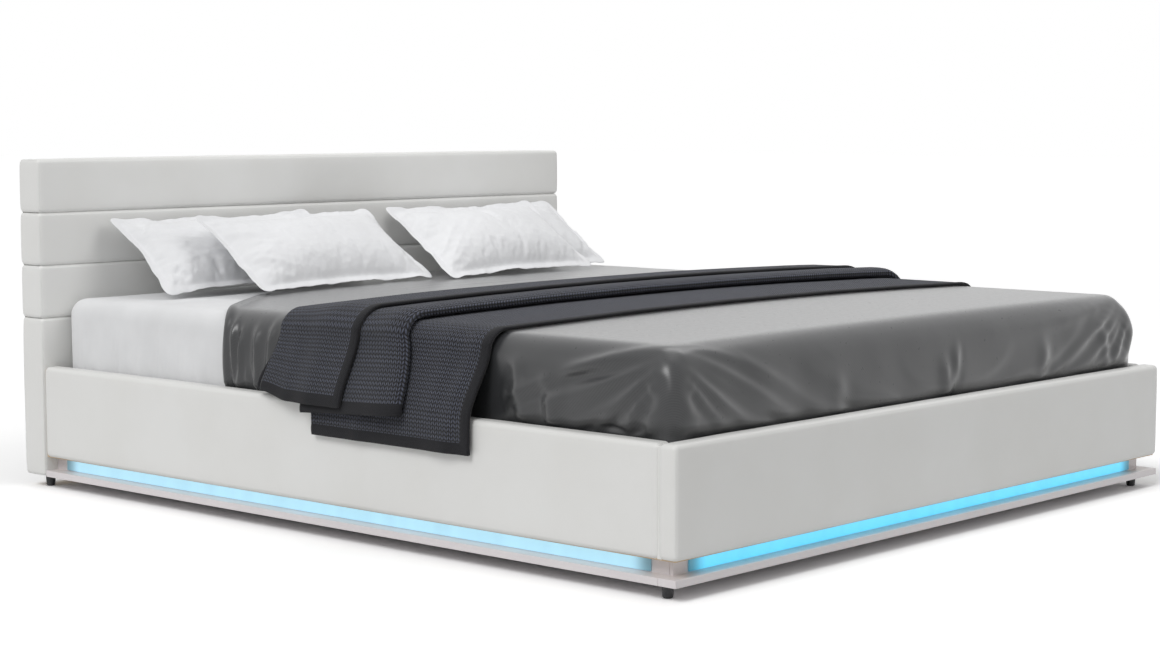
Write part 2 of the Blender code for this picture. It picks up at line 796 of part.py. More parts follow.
def build_strut(side_name, side):
    """A gas strut: a bored cylinder on the lift plate and a rod to the main arm's lever."""
    x = side * strut_middle
    run = (strut_joint[0] - strut_axle[0], strut_joint[1] - strut_axle[1])
    span = hypot(*run)
    slope = atan2(run[1], run[0])
    # The strut's own axis runs along local +Y of an empty at its lower eye.
    seat = bpy.data.objects.new("strut_seat_" + side_name, None)
    seat.location = (x, *strut_axle)
    seat.rotation_euler = (slope, 0, 0)
    PARTS.objects.link(seat)
    bore = strut_rod_radius + strut_bore_clearance
    start = strut_eye_radius - layer_gap
    name = "strut_cylinder_" + side_name
    body = add_round(name, (0, start + strut_cylinder_length / 2, 0), strut_cylinder_radius,
                     strut_cylinder_length, "Y", STEEL, sides=16)
    eye = add_round(name + "_eye", (0, 0, 0), strut_eye_radius, strut_eye_width, "X", cutter=True)
    eye_hole = add_round(name + "_eye_hole", (0, 0, 0), pin_radius + pin_clearance,
                         2 * strut_eye_width, "X", cutter=True, sides=12)
    floor = start + strut_cylinder_radius
    bore_hole = add_round(name + "_bore", (0, (floor + span) / 2, 0), bore, span - floor, "Y",
                          cutter=True, sides=12)
    join(body, eye)
    cut(body, eye_hole, bore_hole)
    rod_name = "strut_rod_" + side_name
    rod_start = floor + strut_collar_length
    rod_end = span - strut_rod_eye_radius + layer_gap
    rod = add_round(rod_name, (0, (rod_start + rod_end) / 2, 0), strut_rod_radius,
                    rod_end - rod_start, "Y", CHROME, sides=12)
    rod_eye = add_round(rod_name + "_eye", (0, span, 0), strut_rod_eye_radius, strut_eye_width,
                        "X", cutter=True)
    rod_hole = add_round(rod_name + "_eye_hole", (0, span, 0),
                         strut_pin_radius + strut_joint_clearance, 2 * strut_eye_width, "X",
                         cutter=True, sides=16)
    join(rod, rod_eye)
    cut(rod, rod_hole)
    for piece in (body, eye, eye_hole, bore_hole, rod, rod_eye, rod_hole):
        piece.parent = seat


# Platform

def build_platform():
    """A bolted tube frame: two side tubes that hang on the lift, two cross tubes and a spine."""
    cross_end = tube_inner - seat_gap
    for label, start in (("foot", platform_foot), ("head", platform_head - tube_width)):
        add_box("platform_cross_" + label, (-cross_end, start, tube_bottom),
                (cross_end, start + tube_width, tube_top), STEEL)
    inset = tube_width + seat_gap
    add_box("platform_spine", (-spine_width / 2, platform_foot + inset, tube_bottom),
            (spine_width / 2, platform_head - inset, tube_top), STEEL)
    rim = tube_top - bracket_thickness
    bracket_foot = main_joint[0] - bracket_reach
    bracket_head = guide_joint[0] + bracket_reach
    for side_name, side in SIDES:
        x_low, x_high = side_range(side, tube_inner, tube_outer)
        tube = add_box("platform_side_" + side_name, (x_low, platform_foot, tube_bottom),
                       (x_high, platform_head, tube_top), STEEL)
        name = "platform_bracket_" + side_name
        outline = hull_outline([(*main_joint, bracket_radius),
                                (bracket_head, rim, bracket_thickness),
                                (bracket_foot, rim, bracket_thickness)])
        plate = side_plate(name, [outline], main_joint,
                           side_range(side, bracket_inner, bracket_outer), STEEL, cutter=True)
        weld_x = side_range(side, tube_outer - layer_gap, bracket_outer)
        weld = add_box(name + "_weld", (weld_x[0], bracket_foot, tube_bottom + bracket_thickness),
                       (weld_x[1], bracket_head, tube_top - seat_gap), cutter=True)
        main_head = main_outer + pin_clearance
        guide_head = guide_outer + pin_clearance
        join(tube, plate, weld,
             pin(name + "_main_pin", main_joint, bracket_inner + layer_gap,
                 main_head + pin_head_thickness / 2, side),
             pin(name + "_main_head", main_joint, main_head, main_head + pin_head_thickness, side,
                 pin_head_radius),
             pin(name + "_guide_pin", guide_joint, bracket_inner + layer_gap,
                 guide_head + pin_head_thickness / 2, side),
             pin(name + "_guide_head", guide_joint, guide_head, guide_head + pin_head_thickness,
                 side, pin_head_radius))


def bowed_slat(name, x_start, x_end, y_middle, low):
    """One half-width slat that rises to a crown in its middle."""
    made = add_box(name, (x_start, y_middle - slat_width / 2, low),
                   (x_end, y_middle + slat_width / 2, low + slat_thickness), cutter=True)
    shape = bmesh.new()
    shape.from_mesh(made.data)
    span = x_end - x_start
    stations = 8
    for index in range(1, stations):
        bmesh.ops.bisect_plane(shape, geom=shape.verts[:] + shape.edges[:] + shape.faces[:],
                               plane_co=(span * (index / stations - 0.5), 0, 0), plane_no=(1, 0, 0))
    for vert in shape.verts:
        vert.co.z += slat_crown * (1 - (2 * vert.co.x / span) ** 2)
    shape.to_mesh(made.data)
    shape.free()
    return made


def build_slats():
    low = slat_low
    first = platform_foot + slat_end_margin
    last = platform_head - slat_end_margin
    end = tube_outer - layer_gap
    for row in range(slat_rows):
        y = first + (last - first) * row / (slat_rows - 1)
        name = f"slat_row_{row + 1:02d}"
        cap = add_box(name, (-slat_cap_length, y - slat_cap_width / 2, low),
                      (slat_cap_length, y + slat_cap_width / 2, low + slat_cap_height), SLAT)
        for side_name, side in SIDES:
            x_low, x_high = side_range(side, slat_cap_length / 2, end - slat_cap_length / 2)
            slat = bowed_slat(f"{name}_{side_name}", x_low, x_high, y, low + layer_gap)
            x_low, x_high = side_range(side, end - slat_cap_length, end)
            holder = add_box(f"{name}_{side_name}_holder", (x_low, y - slat_cap_width / 2, low),
                             (x_high, y + slat_cap_width / 2, low + slat_cap_height), cutter=True)
            join(cap, slat, holder)


def build_strap():
    """A webbing loop on the foot tube, used to raise the platform."""
    back = platform_foot - seat_gap
    low = tube_bottom + strap_drop / 4
    strap = add_box("lift_strap", (-strap_width, back - strap_thickness, low),
                    (strap_width, back, tube_top + strap_rise), WEBBING)
    room = add_box("lift_strap_room",
                   (-strap_width + strap_drop / 2, back - strap_thickness - overrun,
                    tube_top - strap_drop / 4),
                   (strap_width - strap_drop / 2, back + overrun, tube_top + strap_rise / 2),
                   cutter=True)
    cut(strap, room)


# Bedding

def planes_between(low, high, radius, cell):
    """Cut places across a rounded box: fine at its round edges, one per cell between."""
    flat_low, flat_high = low + radius, high - radius
    count = max(1, round((flat_high - flat_low) / cell))
    places = [flat_low + (flat_high - flat_low) * index / count for index in range(count + 1)]
    shares = (0.293, 0.617)
    places += [low + radius * share for share in shares]
    places += [high - radius * share for share in shares]
    return sorted(places)


def rounded_block(name, low, high, radius, cell, shift, material=None, cutter=False):
    """A box with round edges, cut into cells, whose skin a function then shifts."""
    low, high = Vector(low), Vector(high)
    shape = bmesh.new()
    middle = (low + high) / 2
    bmesh.ops.create_cube(shape, size=1.0, matrix=Matrix.Translation(middle)
                          @ Matrix.Diagonal((*(high - low), 1.0)))
    for axis in range(3):
        normal = Vector((0, 0, 0))
        normal[axis] = 1
        for place in planes_between(low[axis], high[axis], radius, cell):
            point = middle.copy()
            point[axis] = place
            bmesh.ops.bisect_plane(shape, geom=shape.verts[:] + shape.edges[:] + shape.faces[:],
                                   plane_co=point, plane_no=normal)
    for vert in shape.verts:
        core = Vector([min(max(vert.co[i], low[i] + radius), high[i] - radius) for i in range(3)])
        away = vert.co - core
        if away.length > 0:
            away.normalize()
            vert.co = core + away * (radius + shift(vert.co, away))
    bmesh.ops.triangulate(shape, faces=shape.faces, quad_method="FIXED")
    mesh = bpy.data.meshes.new(name)
    shape.to_mesh(mesh)
    shape.free()
    return add_object(name, mesh, material, cutter)


def crown_at(x, y):
    """How far the mattress top rises above its edges."""
    middle = (mattress_foot + mattress_head) / 2
    along_share = (y - middle) / (mattress_head - middle)
    return mattress_crown * max(0, 1 - (x / mattress_half) ** 2) * max(0, 1 - along_share ** 2)


def crown(place, away):
    return crown_at(place.x, place.y) if away.z > upward_share else 0


def duvet_surface(x, y):
    """The height of the duvet's top."""
    return duvet_top + duvet_bulge * max(0, 1 - (x / duvet_half) ** 2) + crown_at(x, y)


def mattress_block(name, gap, material=None, cutter=False):
    """The mattress, or the room that it takes with a gap all round."""
    return rounded_block(name, (-mattress_half, mattress_foot, mattress_bottom),
                         (mattress_half, mattress_head, mattress_top), mattress_edge_radius,
                         mattress_cell, lambda place, away: crown(place, away) + gap,
                         material, cutter)


def build_mattress():
    mattress_block("mattress", 0, TICKING)


def duvet_folds(place, away):
    """How far the duvet stands out: a soft bulge, and folds that fan out of the foot corners."""
    across = duvet_half - abs(place.x)
    down = duvet_top - place.z
    back = place.y - duvet_foot
    from_corner = sqrt(across ** 2 + back ** 2 + down ** 2)
    fan = atan2(down + duvet_edge_radius / 2, across + back + duvet_edge_radius / 2)
    strength = exp(-(from_corner / duvet_fold_reach) ** 2)
    folds = duvet_fold_height * strength * sin(duvet_fold_count * 4 * fan)
    wave = sin(2 * pi * back / duvet_hang_wave)
    hang = duvet_fold_height / 3 * wave * min(1, 2 * down / duvet_fold_reach)
    if away.z > upward_share:
        return folds + duvet_surface(place.x, place.y) - duvet_top
    return min(folds + hang, duvet_fold_height)


def duvet_edge_outline():
    """The head edge of the duvet on the bed: pulled back at the near side, then under the pillows."""
    edge_x = duvet_half + overrun
    start_y = mattress_head - duvet_turned_back
    end_y = mattress_head - duvet_edge_radius
    points = []
    for index in range(duvet_edge_steps + 1):
        share = index / duvet_edge_steps
        rise = sin(share * pi / 2) ** duvet_edge_power
        points.append((-edge_x + edge_x * duvet_edge_sweep_share * share,
                       start_y + (end_y - start_y) * rise))
    points += [(edge_x, end_y), (edge_x, head_back), (-edge_x, head_back)]
    return points


def build_duvet():
    duvet = rounded_block("duvet", (-duvet_half, duvet_foot, mattress_bottom),
                          (duvet_half, mattress_head - seat_gap, duvet_top), duvet_edge_radius,
                          duvet_cell, duvet_folds, SATIN)
    inside = mattress_block("duvet_inside", seat_gap, cutter=True)
    hem = add_box("duvet_hem_cut", (-bed_width, -bed_length, 0), (bed_width, bed_length, duvet_hem),
                  cutter=True)
    edge = filled_curve("duvet_head_cut", [duvet_edge_outline()], (0, 0), 2 * bed_width)
    cut(duvet, inside, hem, as_mesh(edge, cutter=True))


def throw_line(y, hem):
    """The under side of the throw from the bed's middle to one hem: x, z and outward direction."""
    radius = throw_corner_radius
    side = half_width + throw_rail_gap
    shoulder = duvet_half + duvet_fold_height + layer_gap
    turn_x = shoulder - radius
    turn_z = duvet_surface(turn_x, y) + throw_seat - radius
    lean = atan2(side - shoulder, turn_z - rail_top)
    points = [(turn_x * share, duvet_surface(turn_x * share, y) + throw_seat, 0, 1)
              for share in (0, 0.25, 0.5, 0.75)]
    for step in range(throw_turn_steps + 1):
        angle = pi / 2 + (lean - pi / 2) * step / throw_turn_steps
        points.append((turn_x + radius * cos(angle), turn_z + radius * sin(angle),
                       cos(angle), sin(angle)))
    start_x, start_z = points[-1][0], points[-1][1]
    lean_steps = throw_lean_steps if hem < rail_top else throw_lean_steps + throw_hang_steps
    lean_end = max(hem, rail_top)
    for step in range(1, lean_steps + 1):
        z = start_z + (lean_end - start_z) * step / lean_steps
        share = (start_z - z) / (start_z - rail_top)
        points.append((start_x + (side - start_x) * share, z, cos(lean), sin(lean)))
    for step in range(1, throw_lean_steps + throw_hang_steps - lean_steps + 1):
        z = rail_top + (hem - rail_top) * step / throw_hang_steps
        points.append((side, z, 1, 0))
    return points


def throw_sections():
    """Stations from foot to head: place along the bed, hem height, thickness."""
    one = throw_thickness
    two = one + throw_roll_thickness
    three = two + throw_layer_thickness
    step = throw_step
    roll = throw_roll_thickness
    return [(throw_foot_edge, throw_long_hem, one / 2),
            (throw_foot_edge + step, throw_long_hem, one),
            ((throw_foot_edge + throw_roll_edge) / 2, throw_long_hem, one * throw_loft_share),
            (throw_roll_edge - step, throw_long_hem, one),
            (throw_roll_edge + step, throw_long_hem, two - roll / 4),
            (throw_roll_edge + step + roll, throw_long_hem, two),
            (throw_top_edge - step, throw_long_hem, two - roll / 4),
            (throw_top_edge, throw_long_hem, three - roll / 4),
            (throw_foot_hang_end - step, throw_long_hem, three),
            (throw_foot_hang_end, throw_short_hem, three),
            ((throw_foot_hang_end + throw_head_edge) / 2, throw_short_hem, three),
            (throw_head_edge - step, throw_short_hem, three - one / 2),
            (throw_head_edge, throw_short_hem, one)]


def build_throw():
    """A knitted throw, laid across in three overlapping folds, that hangs over both rails."""
    sections = throw_sections()
    shape = bmesh.new()
    under, upper = [], []
    for y, hem, thickness in sections:
        low_row, high_row = [], []
        half = throw_line(y, hem)
        whole = [(-x, z, -away_x, away_z) for x, z, away_x, away_z in reversed(half[1:])] + half
        for x, z, away_x, away_z in whole:
            depth = thickness if z > throw_roll_hem else min(thickness, throw_thickness)
            low_row.append(shape.verts.new((x, y, z)))
            high_row.append(shape.verts.new((x + away_x * depth, y, z + away_z * depth)))
        under.append(low_row)
        upper.append(high_row)
    last_row, last_column = len(sections) - 1, len(under[0]) - 1
    for row in range(last_row):
        for column in range(last_column):
            shape.faces.new((upper[row][column], upper[row][column + 1],
                             upper[row + 1][column + 1], upper[row + 1][column]))
            shape.faces.new((under[row][column], under[row + 1][column],
                             under[row + 1][column + 1], under[row][column + 1]))
    for column in range(last_column):
        for row in (0, last_row):
            shape.faces.new((under[row][column], under[row][column + 1],
                             upper[row][column + 1], upper[row][column]))
    for row in range(last_row):
        for column in (0, last_column):
            shape.faces.new((under[row][column], upper[row][column],
                             upper[row + 1][column], under[row + 1][column]))
    bmesh.ops.recalc_face_normals(shape, faces=shape.faces)
    mesh = bpy.data.meshes.new("throw")
    shape.to_mesh(mesh)
    shape.free()
    add_object("throw", mesh, KNIT)


def pillow_skin(across, up, side):
    """Half the thickness of a pillow at shares of its half length and half height."""
    fill = 1
    for share in (across, up):
        fill *= max(0, 1 - abs(share) ** pillow_square_power) ** pillow_swell_power
    return side * (pillow_flange_thickness + (pillow_depth - pillow_flange_thickness) * fill) / 2


def build_pillow(name, middle_x, middle_y, lean, turn):
    """A stuffed pillow with a flat flange, drawn in between its corners, laid on the duvet."""
    columns, rows = 14, 10
    inner_x = pillow_length / 2 - pillow_flange
    inner_z = pillow_height / 2 - pillow_flange
    shape = bmesh.new()

    def spread(index, count, inner, outer):
        """Places from edge to edge: the flange's edge, its seam, then even steps."""
        if index == 0 or index == count:
            return outer if index else -outer
        return inner * sin((index - 1) / (count - 2) * pi - pi / 2)

    grids = []
    for side in (-1, 1):
        grid = []
        for row in range(rows + 1):
            line = []
            for column in range(columns + 1):
                x = spread(column, columns, inner_x, pillow_length / 2)
                z = spread(row, rows, inner_z, pillow_height / 2)
                share_x = x / (pillow_length / 2)
                share_z = z / (pillow_height / 2)
                pull = pillow_flange * pillow_pull_share
                x -= pull * share_x * (1 - share_z ** 2)
                z -= pull * share_z * (1 - share_x ** 2)
                thick = pillow_skin(min(1, abs(x) / inner_x), min(1, abs(z) / inner_z), side)
                line.append(shape.verts.new((x, thick, z)))
            grid.append(line)
        grids.append(grid)
    back, front = grids
    for row in range(rows):
        for column in range(columns):
            for grid in grids:
                shape.faces.new((grid[row][column], grid[row][column + 1],
                                 grid[row + 1][column + 1], grid[row + 1][column]))
    rim = [(0, column) for column in range(columns)]
    rim += [(row, columns) for row in range(rows)]
    rim += [(rows, columns - column) for column in range(columns)]
    rim += [(rows - row, 0) for row in range(rows)]
    for index, (row, column) in enumerate(rim):
        next_row, next_column = rim[(index + 1) % len(rim)]
        shape.faces.new((back[row][column], back[next_row][next_column],
                         front[next_row][next_column], front[row][column]))
    bmesh.ops.recalc_face_normals(shape, faces=shape.faces)
    mesh = bpy.data.meshes.new(name)
    shape.to_mesh(mesh)
    shape.free()
    made = add_object(name, mesh, LINEN)
    made.rotation_euler = (-lean, 0, turn)
    tilt = made.rotation_euler.to_matrix()
    skin = [tilt @ vert.co for vert in mesh.vertices]
    drop = min(point.z - duvet_surface(middle_x + point.x, middle_y + point.y) for point in skin)
    made.location = (middle_x, middle_y, seat_gap - drop)
    return made


def build_pillows():
    """Two pillows lie against the headboard and two more lean on them."""
    rows = [("back", pillow_back_place, pillow_back_lean, (pillow_back_left, pillow_back_right),
             (0, 0)),
            ("front", pillow_front_place, pillow_front_lean,
             (pillow_front_left, pillow_front_right), (pillow_left_turn, pillow_right_turn))]
    for row_name, place, lean, middles, turns in rows:
        for (side_name, side), x, turn in zip(SIDES, middles, turns):
            build_pillow(f"pillow_{row_name}_{side_name}", x, board_face - place, lean, turn)


def build_bed():
    build_headboard()
    build_foot_panel()
    for side_name, side in SIDES:
        build_rail(side_name, side)
    build_plinth()
    build_lights()
    build_feet()
    build_box_floor()
    build_brackets()
    for side_name, side in SIDES:
        build_lift_plate(side_name, side)
        build_arms(side_name, side)
        build_strut(side_name, side)
    build_platform()
    build_slats()
    build_strap()
    build_mattress()
    build_duvet()
    build_throw()
    build_pillows()


build_bed()
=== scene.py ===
"""Looks of the upholstered storage bed: leather, plinth light, bedding, lift frame and studio."""

import json
from math import atan2, ceil, cos, exp, pi, radians, sin, tan

import bmesh
import bpy
import numpy as np
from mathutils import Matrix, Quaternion, Vector, noise


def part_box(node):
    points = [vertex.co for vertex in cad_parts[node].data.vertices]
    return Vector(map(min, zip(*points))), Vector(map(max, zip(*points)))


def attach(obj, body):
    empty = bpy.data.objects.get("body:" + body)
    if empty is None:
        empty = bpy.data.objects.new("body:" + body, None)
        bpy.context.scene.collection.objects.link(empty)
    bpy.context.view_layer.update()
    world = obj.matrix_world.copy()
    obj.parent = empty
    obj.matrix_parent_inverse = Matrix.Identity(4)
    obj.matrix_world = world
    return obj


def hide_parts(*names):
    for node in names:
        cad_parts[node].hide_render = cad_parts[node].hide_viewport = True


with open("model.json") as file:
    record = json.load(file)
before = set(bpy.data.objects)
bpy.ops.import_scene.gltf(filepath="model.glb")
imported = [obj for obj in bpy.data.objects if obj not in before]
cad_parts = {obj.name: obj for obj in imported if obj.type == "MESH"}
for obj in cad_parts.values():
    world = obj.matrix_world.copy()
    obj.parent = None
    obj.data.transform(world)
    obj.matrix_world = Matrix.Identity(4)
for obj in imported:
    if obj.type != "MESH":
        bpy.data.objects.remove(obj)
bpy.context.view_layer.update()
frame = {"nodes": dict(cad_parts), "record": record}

# Camera, fitted to the photograph's straight edges
CAMERA_PLACE = (-4.2787, -3.8394, 0.9357)
CAMERA_AZIMUTH = radians(-47.851)
CAMERA_ELEVATION = radians(5.335)
CAMERA_ROLL = radians(-0.048)
CAMERA_LENS = 71.02
SENSOR_WIDTH = 36.0

# Light levels, as shares of a white surface's full brightness
SKY_LEVEL = 0.47
SUN_LEVEL = 0.41
SUN_ELEVATION = radians(46)
SUN_AZIMUTH = radians(262)
SUN_WIDTH = radians(28)
OVERHEAD_POWER = 13.5
OVERHEAD_SIZE = 1.5
OVERHEAD_PLACE = (0.0, -0.6, 2.0)
OVERHEAD_AIM = (0.0, 0.7, 0.5)
FLOOR_GREY = 0.72
FLOOR_AS_SEEN = 1.32
FLOOR_REACH = 40.0

SIDES = (("left", -1), ("right", 1))
NODES = frame["nodes"]


# Node helpers

class Finish:
    """A node material with short calls for grain, tone and bump."""

    def __init__(self, name, colour, roughness, **sockets):
        self.material = bpy.data.materials.new(name)
        self.material.use_nodes = True
        self.nodes = self.material.node_tree.nodes
        self.links = self.material.node_tree.links
        self.shader = self.nodes["Principled BSDF"]
        self.colour = (*colour, 1.0)
        values = {"Base_Color": self.colour, "Roughness": roughness, **sockets}
        for socket, value in values.items():
            self.shader.inputs[socket.replace("_", " ")].default_value = value
        self.place = self.nodes.new("ShaderNodeTexCoord").outputs["Object"]
        self.height = None

    def node(self, kind, inputs=None, **settings):
        made = self.nodes.new("ShaderNode" + kind)
        for name, value in settings.items():
            setattr(made, name, value)
        for name, value in (inputs or {}).items():
            if isinstance(value, bpy.types.NodeSocket):
                self.links.new(value, made.inputs[name])
            else:
                made.inputs[name].default_value = value
        return made

    def math(self, operation, *values):
        return self.node("Math", dict(enumerate(values)), operation=operation).outputs[0]

    def use_uv(self):
        """From here on, patterns follow the flat cloth and not the object's space."""
        self.place = self.nodes.new("ShaderNodeTexCoord").outputs["UV"]

    def stretched(self, scale):
        return self.node("Mapping", {"Vector": self.place, "Scale": scale}).outputs["Vector"]

    def noise(self, scale, detail=2.0, stretch=(1, 1, 1), distortion=0.0):
        return self.node("TexNoise", {"Vector": self.stretched(stretch), "Scale": scale,
                                      "Detail": detail, "Distortion": distortion}).outputs["Fac"]

    def wave(self, direction, inputs, place=None):
        return self.node("TexWave", {"Vector": place or self.place, **inputs},
                         bands_direction=direction).outputs["Fac"]

    def ramp(self, value, low, high, low_out=0.0, high_out=1.0):
        return self.node("MapRange", {"Value": value, "From Min": low, "From Max": high,
                                      "To Min": low_out, "To Max": high_out}).outputs["Result"]

    def tone(self, other, share):
        """Blends the base colour towards another by a share that varies over the surface."""
        mix = self.node("Mix", {"Factor": share}, data_type="RGBA")
        mix.inputs["A"].default_value = self.colour
        mix.inputs["B"].default_value = (*other, 1.0)
        self.links.new(mix.outputs["Result"], self.shader.inputs["Base Color"])

    def rough(self, value, low, high):
        self.links.new(self.ramp(value, 0.3, 0.7, low, high), self.shader.inputs["Roughness"])

    def bump(self, value, strength, distance):
        bump = self.node("Bump", {"Height": value, "Strength": strength, "Distance": distance})
        if self.height is not None:
            self.links.new(self.height, bump.inputs["Normal"])
        self.height = bump.outputs["Normal"]
        self.links.new(self.height, self.shader.inputs["Normal"])


# Finishes

def leather():
    """White coated leather: fine pebble grain, soft gloss, faint greying."""
    made = Finish("white_leather", (0.80, 0.80, 0.785), 0.46, Coat_Weight=0.06, Coat_Roughness=0.35)
    made.tone((0.74, 0.735, 0.71), made.ramp(made.noise(5, 3), 0.35, 0.75, 0.0, 0.55))
    made.rough(made.noise(60, 4), 0.42, 0.54)
    grain = made.node("TexVoronoi", {"Vector": made.place, "Scale": 620.0, "Randomness": 0.9},
                      feature="SMOOTH_F1").outputs["Distance"]
    made.bump(grain, 0.22, 0.0006)
    made.bump(made.noise(38, 3), 0.10, 0.0015)
    return made.material


def grained(name, colour, roughness, other, patches, gloss, grain, **sockets):
    """A plain surface: patches of another tone, uneven gloss and a fine grain.

    Each of the three is a noise's scale and detail, then the ramp that blends the colours, the
    lowest and highest roughness, or the bump's strength and distance.
    """
    made = Finish(name, colour, roughness, **sockets)
    made.tone(other, made.ramp(made.noise(*patches[:2]), *patches[2:]))
    if gloss:
        made.rough(made.noise(*gloss[:2]), *gloss[2:])
    made.bump(made.noise(*grain[:2]), *grain[2:])
    return made.material


def wood(name, light, dark, roughness):
    """Planed wood with rings stretched along the bed's width."""
    made = Finish(name, light, roughness)
    rings = made.wave("Z", {"Scale": 16.0, "Distortion": 7.0, "Detail": 3.0, "Detail Scale": 1.4},
                      made.stretched((0.06, 1.0, 1.0)))
    made.tone(dark, made.ramp(rings, 0.2, 0.9, 0.0, 0.65))
    pores = made.noise(420, 3, (1, 40, 40))
    made.bump(pores, 0.12, 0.0004)
    made.rough(pores, roughness - 0.06, roughness + 0.08)
    return made.material


def backing_cloth():
    """Black non-woven cloth: pressed dimples in rows."""
    made = Finish("backing_cloth", (0.030, 0.030, 0.032), 0.9)
    made.tone((0.055, 0.055, 0.058), made.ramp(made.noise(300, 4), 0.4, 0.7))
    dimples = made.node("TexVoronoi", {"Vector": made.place, "Scale": 420.0,
                                       "Randomness": 0.05}).outputs["Distance"]
    made.bump(dimples, 0.5, 0.0006)
    return made.material


def bright_steel():
    """Ground and plated steel rod, with faint turning marks."""
    made = Finish("bright_steel", (0.60, 0.60, 0.62), 0.2, Metallic=1.0)
    made.rough(made.noise(900, 2, (1, 0.05, 0.05)), 0.14, 0.28)
    made.tone((0.50, 0.50, 0.53), made.ramp(made.noise(60, 3), 0.4, 0.7))
    return made.material


def webbing():
    """Polypropylene webbing: crossed ribs."""
    made = Finish("grey_webbing", (0.15, 0.15, 0.16), 0.85, Sheen_Weight=0.2)
    ribs = made.wave("X", {"Scale": 260.0, "Distortion": 0.4})
    made.tone((0.08, 0.08, 0.09), made.ramp(ribs, 0.3, 0.8))
    made.bump(ribs, 0.6, 0.0008)
    return made.material


def glowing_bar(node, colour):
    """Frosted light bar: its glow wavers with the lamps behind it and fades at the bar's ends."""
    made = Finish(node + "_glow", (0.10, 0.24, 0.30), 0.35)
    low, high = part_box(node)
    axis = 0 if high.x - low.x > high.y - low.y else 1
    place = made.node("SeparateXYZ", {"Vector": made.place}).outputs[axis]
    from_middle = made.math("ABSOLUTE", made.math("SUBTRACT", place, (low[axis] + high[axis]) / 2))
    half = (high[axis] - low[axis]) / 2
    fade = made.node("MapRange", {"Value": from_middle, "From Min": half - 0.055,
                                  "From Max": half - 0.002, "To Min": 1.0, "To Max": 0.22},
                     interpolation_type="SMOOTHSTEP").outputs["Result"]
    waver = made.ramp(made.noise(22, 2, (1, 1, 0.2)), 0.3, 0.7, 0.92, 1.0)
    glow = made.math("MULTIPLY", waver, fade)
    made.shader.inputs["Emission Color"].default_value = (*colour, 1.0)
    made.links.new(glow, made.shader.inputs["Emission Strength"])
    return made.material


LEATHER = leather()
FINISHES = {
    "leather": LEATHER,
    "timber": wood("planed_pine", (0.62, 0.47, 0.30), (0.50, 0.34, 0.18), 0.6),
    "slat_wood": wood("birch_ply", (0.70, 0.55, 0.36), (0.58, 0.41, 0.24), 0.45),
    "backing": backing_cloth(),
    "bright_steel": bright_steel(),
    "webbing": webbing(),
    # White with a pinkish cast, and a faint roller texture
    "skirt_board": grained("lacquered_board", (0.76, 0.72, 0.73), 0.36, (0.70, 0.66, 0.67),
                           (7, 3, 0.4, 0.7, 0.0, 0.5), (120, 2, 0.32, 0.42),
                           (900, 2, 0.08, 0.0003), Coat_Weight=0.15, Coat_Roughness=0.2),
    "floor_panel": grained("grey_board", (0.30, 0.30, 0.31), 0.7, (0.25, 0.25, 0.26),
                           (14, 5, 0.4, 0.7), (90, 3, 0.62, 0.78), (700, 3, 0.2, 0.0003)),
    # Powder coat with its orange-peel texture
    "black_steel": grained("black_powder_coat", (0.030, 0.030, 0.034), 0.42,
                           (0.045, 0.045, 0.05), (30, 3, 0.4, 0.7), (200, 3, 0.36, 0.5),
                           (650, 2, 0.25, 0.0004)),
    "foot_plastic": grained("dark_plastic", (0.020, 0.020, 0.022), 0.45, (0.035, 0.035, 0.038),
                            (80, 4, 0.45, 0.7), (300, 3, 0.38, 0.55), (1500, 2, 0.15, 0.0002)),
    "housing": grained("white_plastic", (0.78, 0.78, 0.77), 0.4, (0.72, 0.72, 0.70),
                       (60, 3, 0.4, 0.7), None, (1800, 2, 0.12, 0.0002)),
}
LIGHT_BARS = {node: glowing_bar(node, colour) for node, colour in (
    ("led_strip_foot", (0.11, 0.64, 0.95)),
    ("led_strip_left", (0.42, 0.68, 0.82)),
    ("led_strip_right", (0.42, 0.68, 0.82)))}
EDGE_SOFTNESS = {"timber": 0.0015, "skirt_board": 0.0012, "slat_wood": 0.0010, "housing": 0.0008}


def dress_node(node, slot):
    """Gives a CAD node its finish, with shading smooth across shallow edges."""
    obj = NODES[node]
    obj.data.materials.clear()
    obj.data.materials.append(LIGHT_BARS[node] if node in LIGHT_BARS else FINISHES[slot])
    weld = obj.modifiers.new("weld", "WELD")
    weld.merge_threshold = 0.00002
    flat = obj.modifiers.new("flatten", "DECIMATE")
    flat.decimate_type = "DISSOLVE"
    flat.angle_limit = radians(0.5)
    edge = obj.modifiers.new("edge", "BEVEL")
    edge.width = EDGE_SOFTNESS.get(slot, 0.0004)
    edge.segments = 2
    edge.limit_method = "ANGLE"
    edge.angle_limit = radians(35)
    edge.harden_normals = True


# Upholstery

RETURN = 0.030
EDGE_RADIUS = 0.011
LEATHER_THICKNESS = 0.004
GROOVE_FROM_TOP = 0.133
GROOVE_PITCH = 0.132
PAD_DEPTH = 0.018


def edge_places(low, high, radius, cell, arc_steps=4):
    """Lattice places across a rounded box: close together at the round edges."""
    arc = [radius * (1 - tan(pi / 4 * step / arc_steps)) for step in range(arc_steps, -1, -1)]
    flat_low, flat_high = low + radius, high - radius
    count = max(1, ceil((flat_high - flat_low) / cell))
    middle = [flat_low + (flat_high - flat_low) * step / count for step in range(1, count)]
    return [low + step for step in arc] + middle + [high - step for step in reversed(arc)]


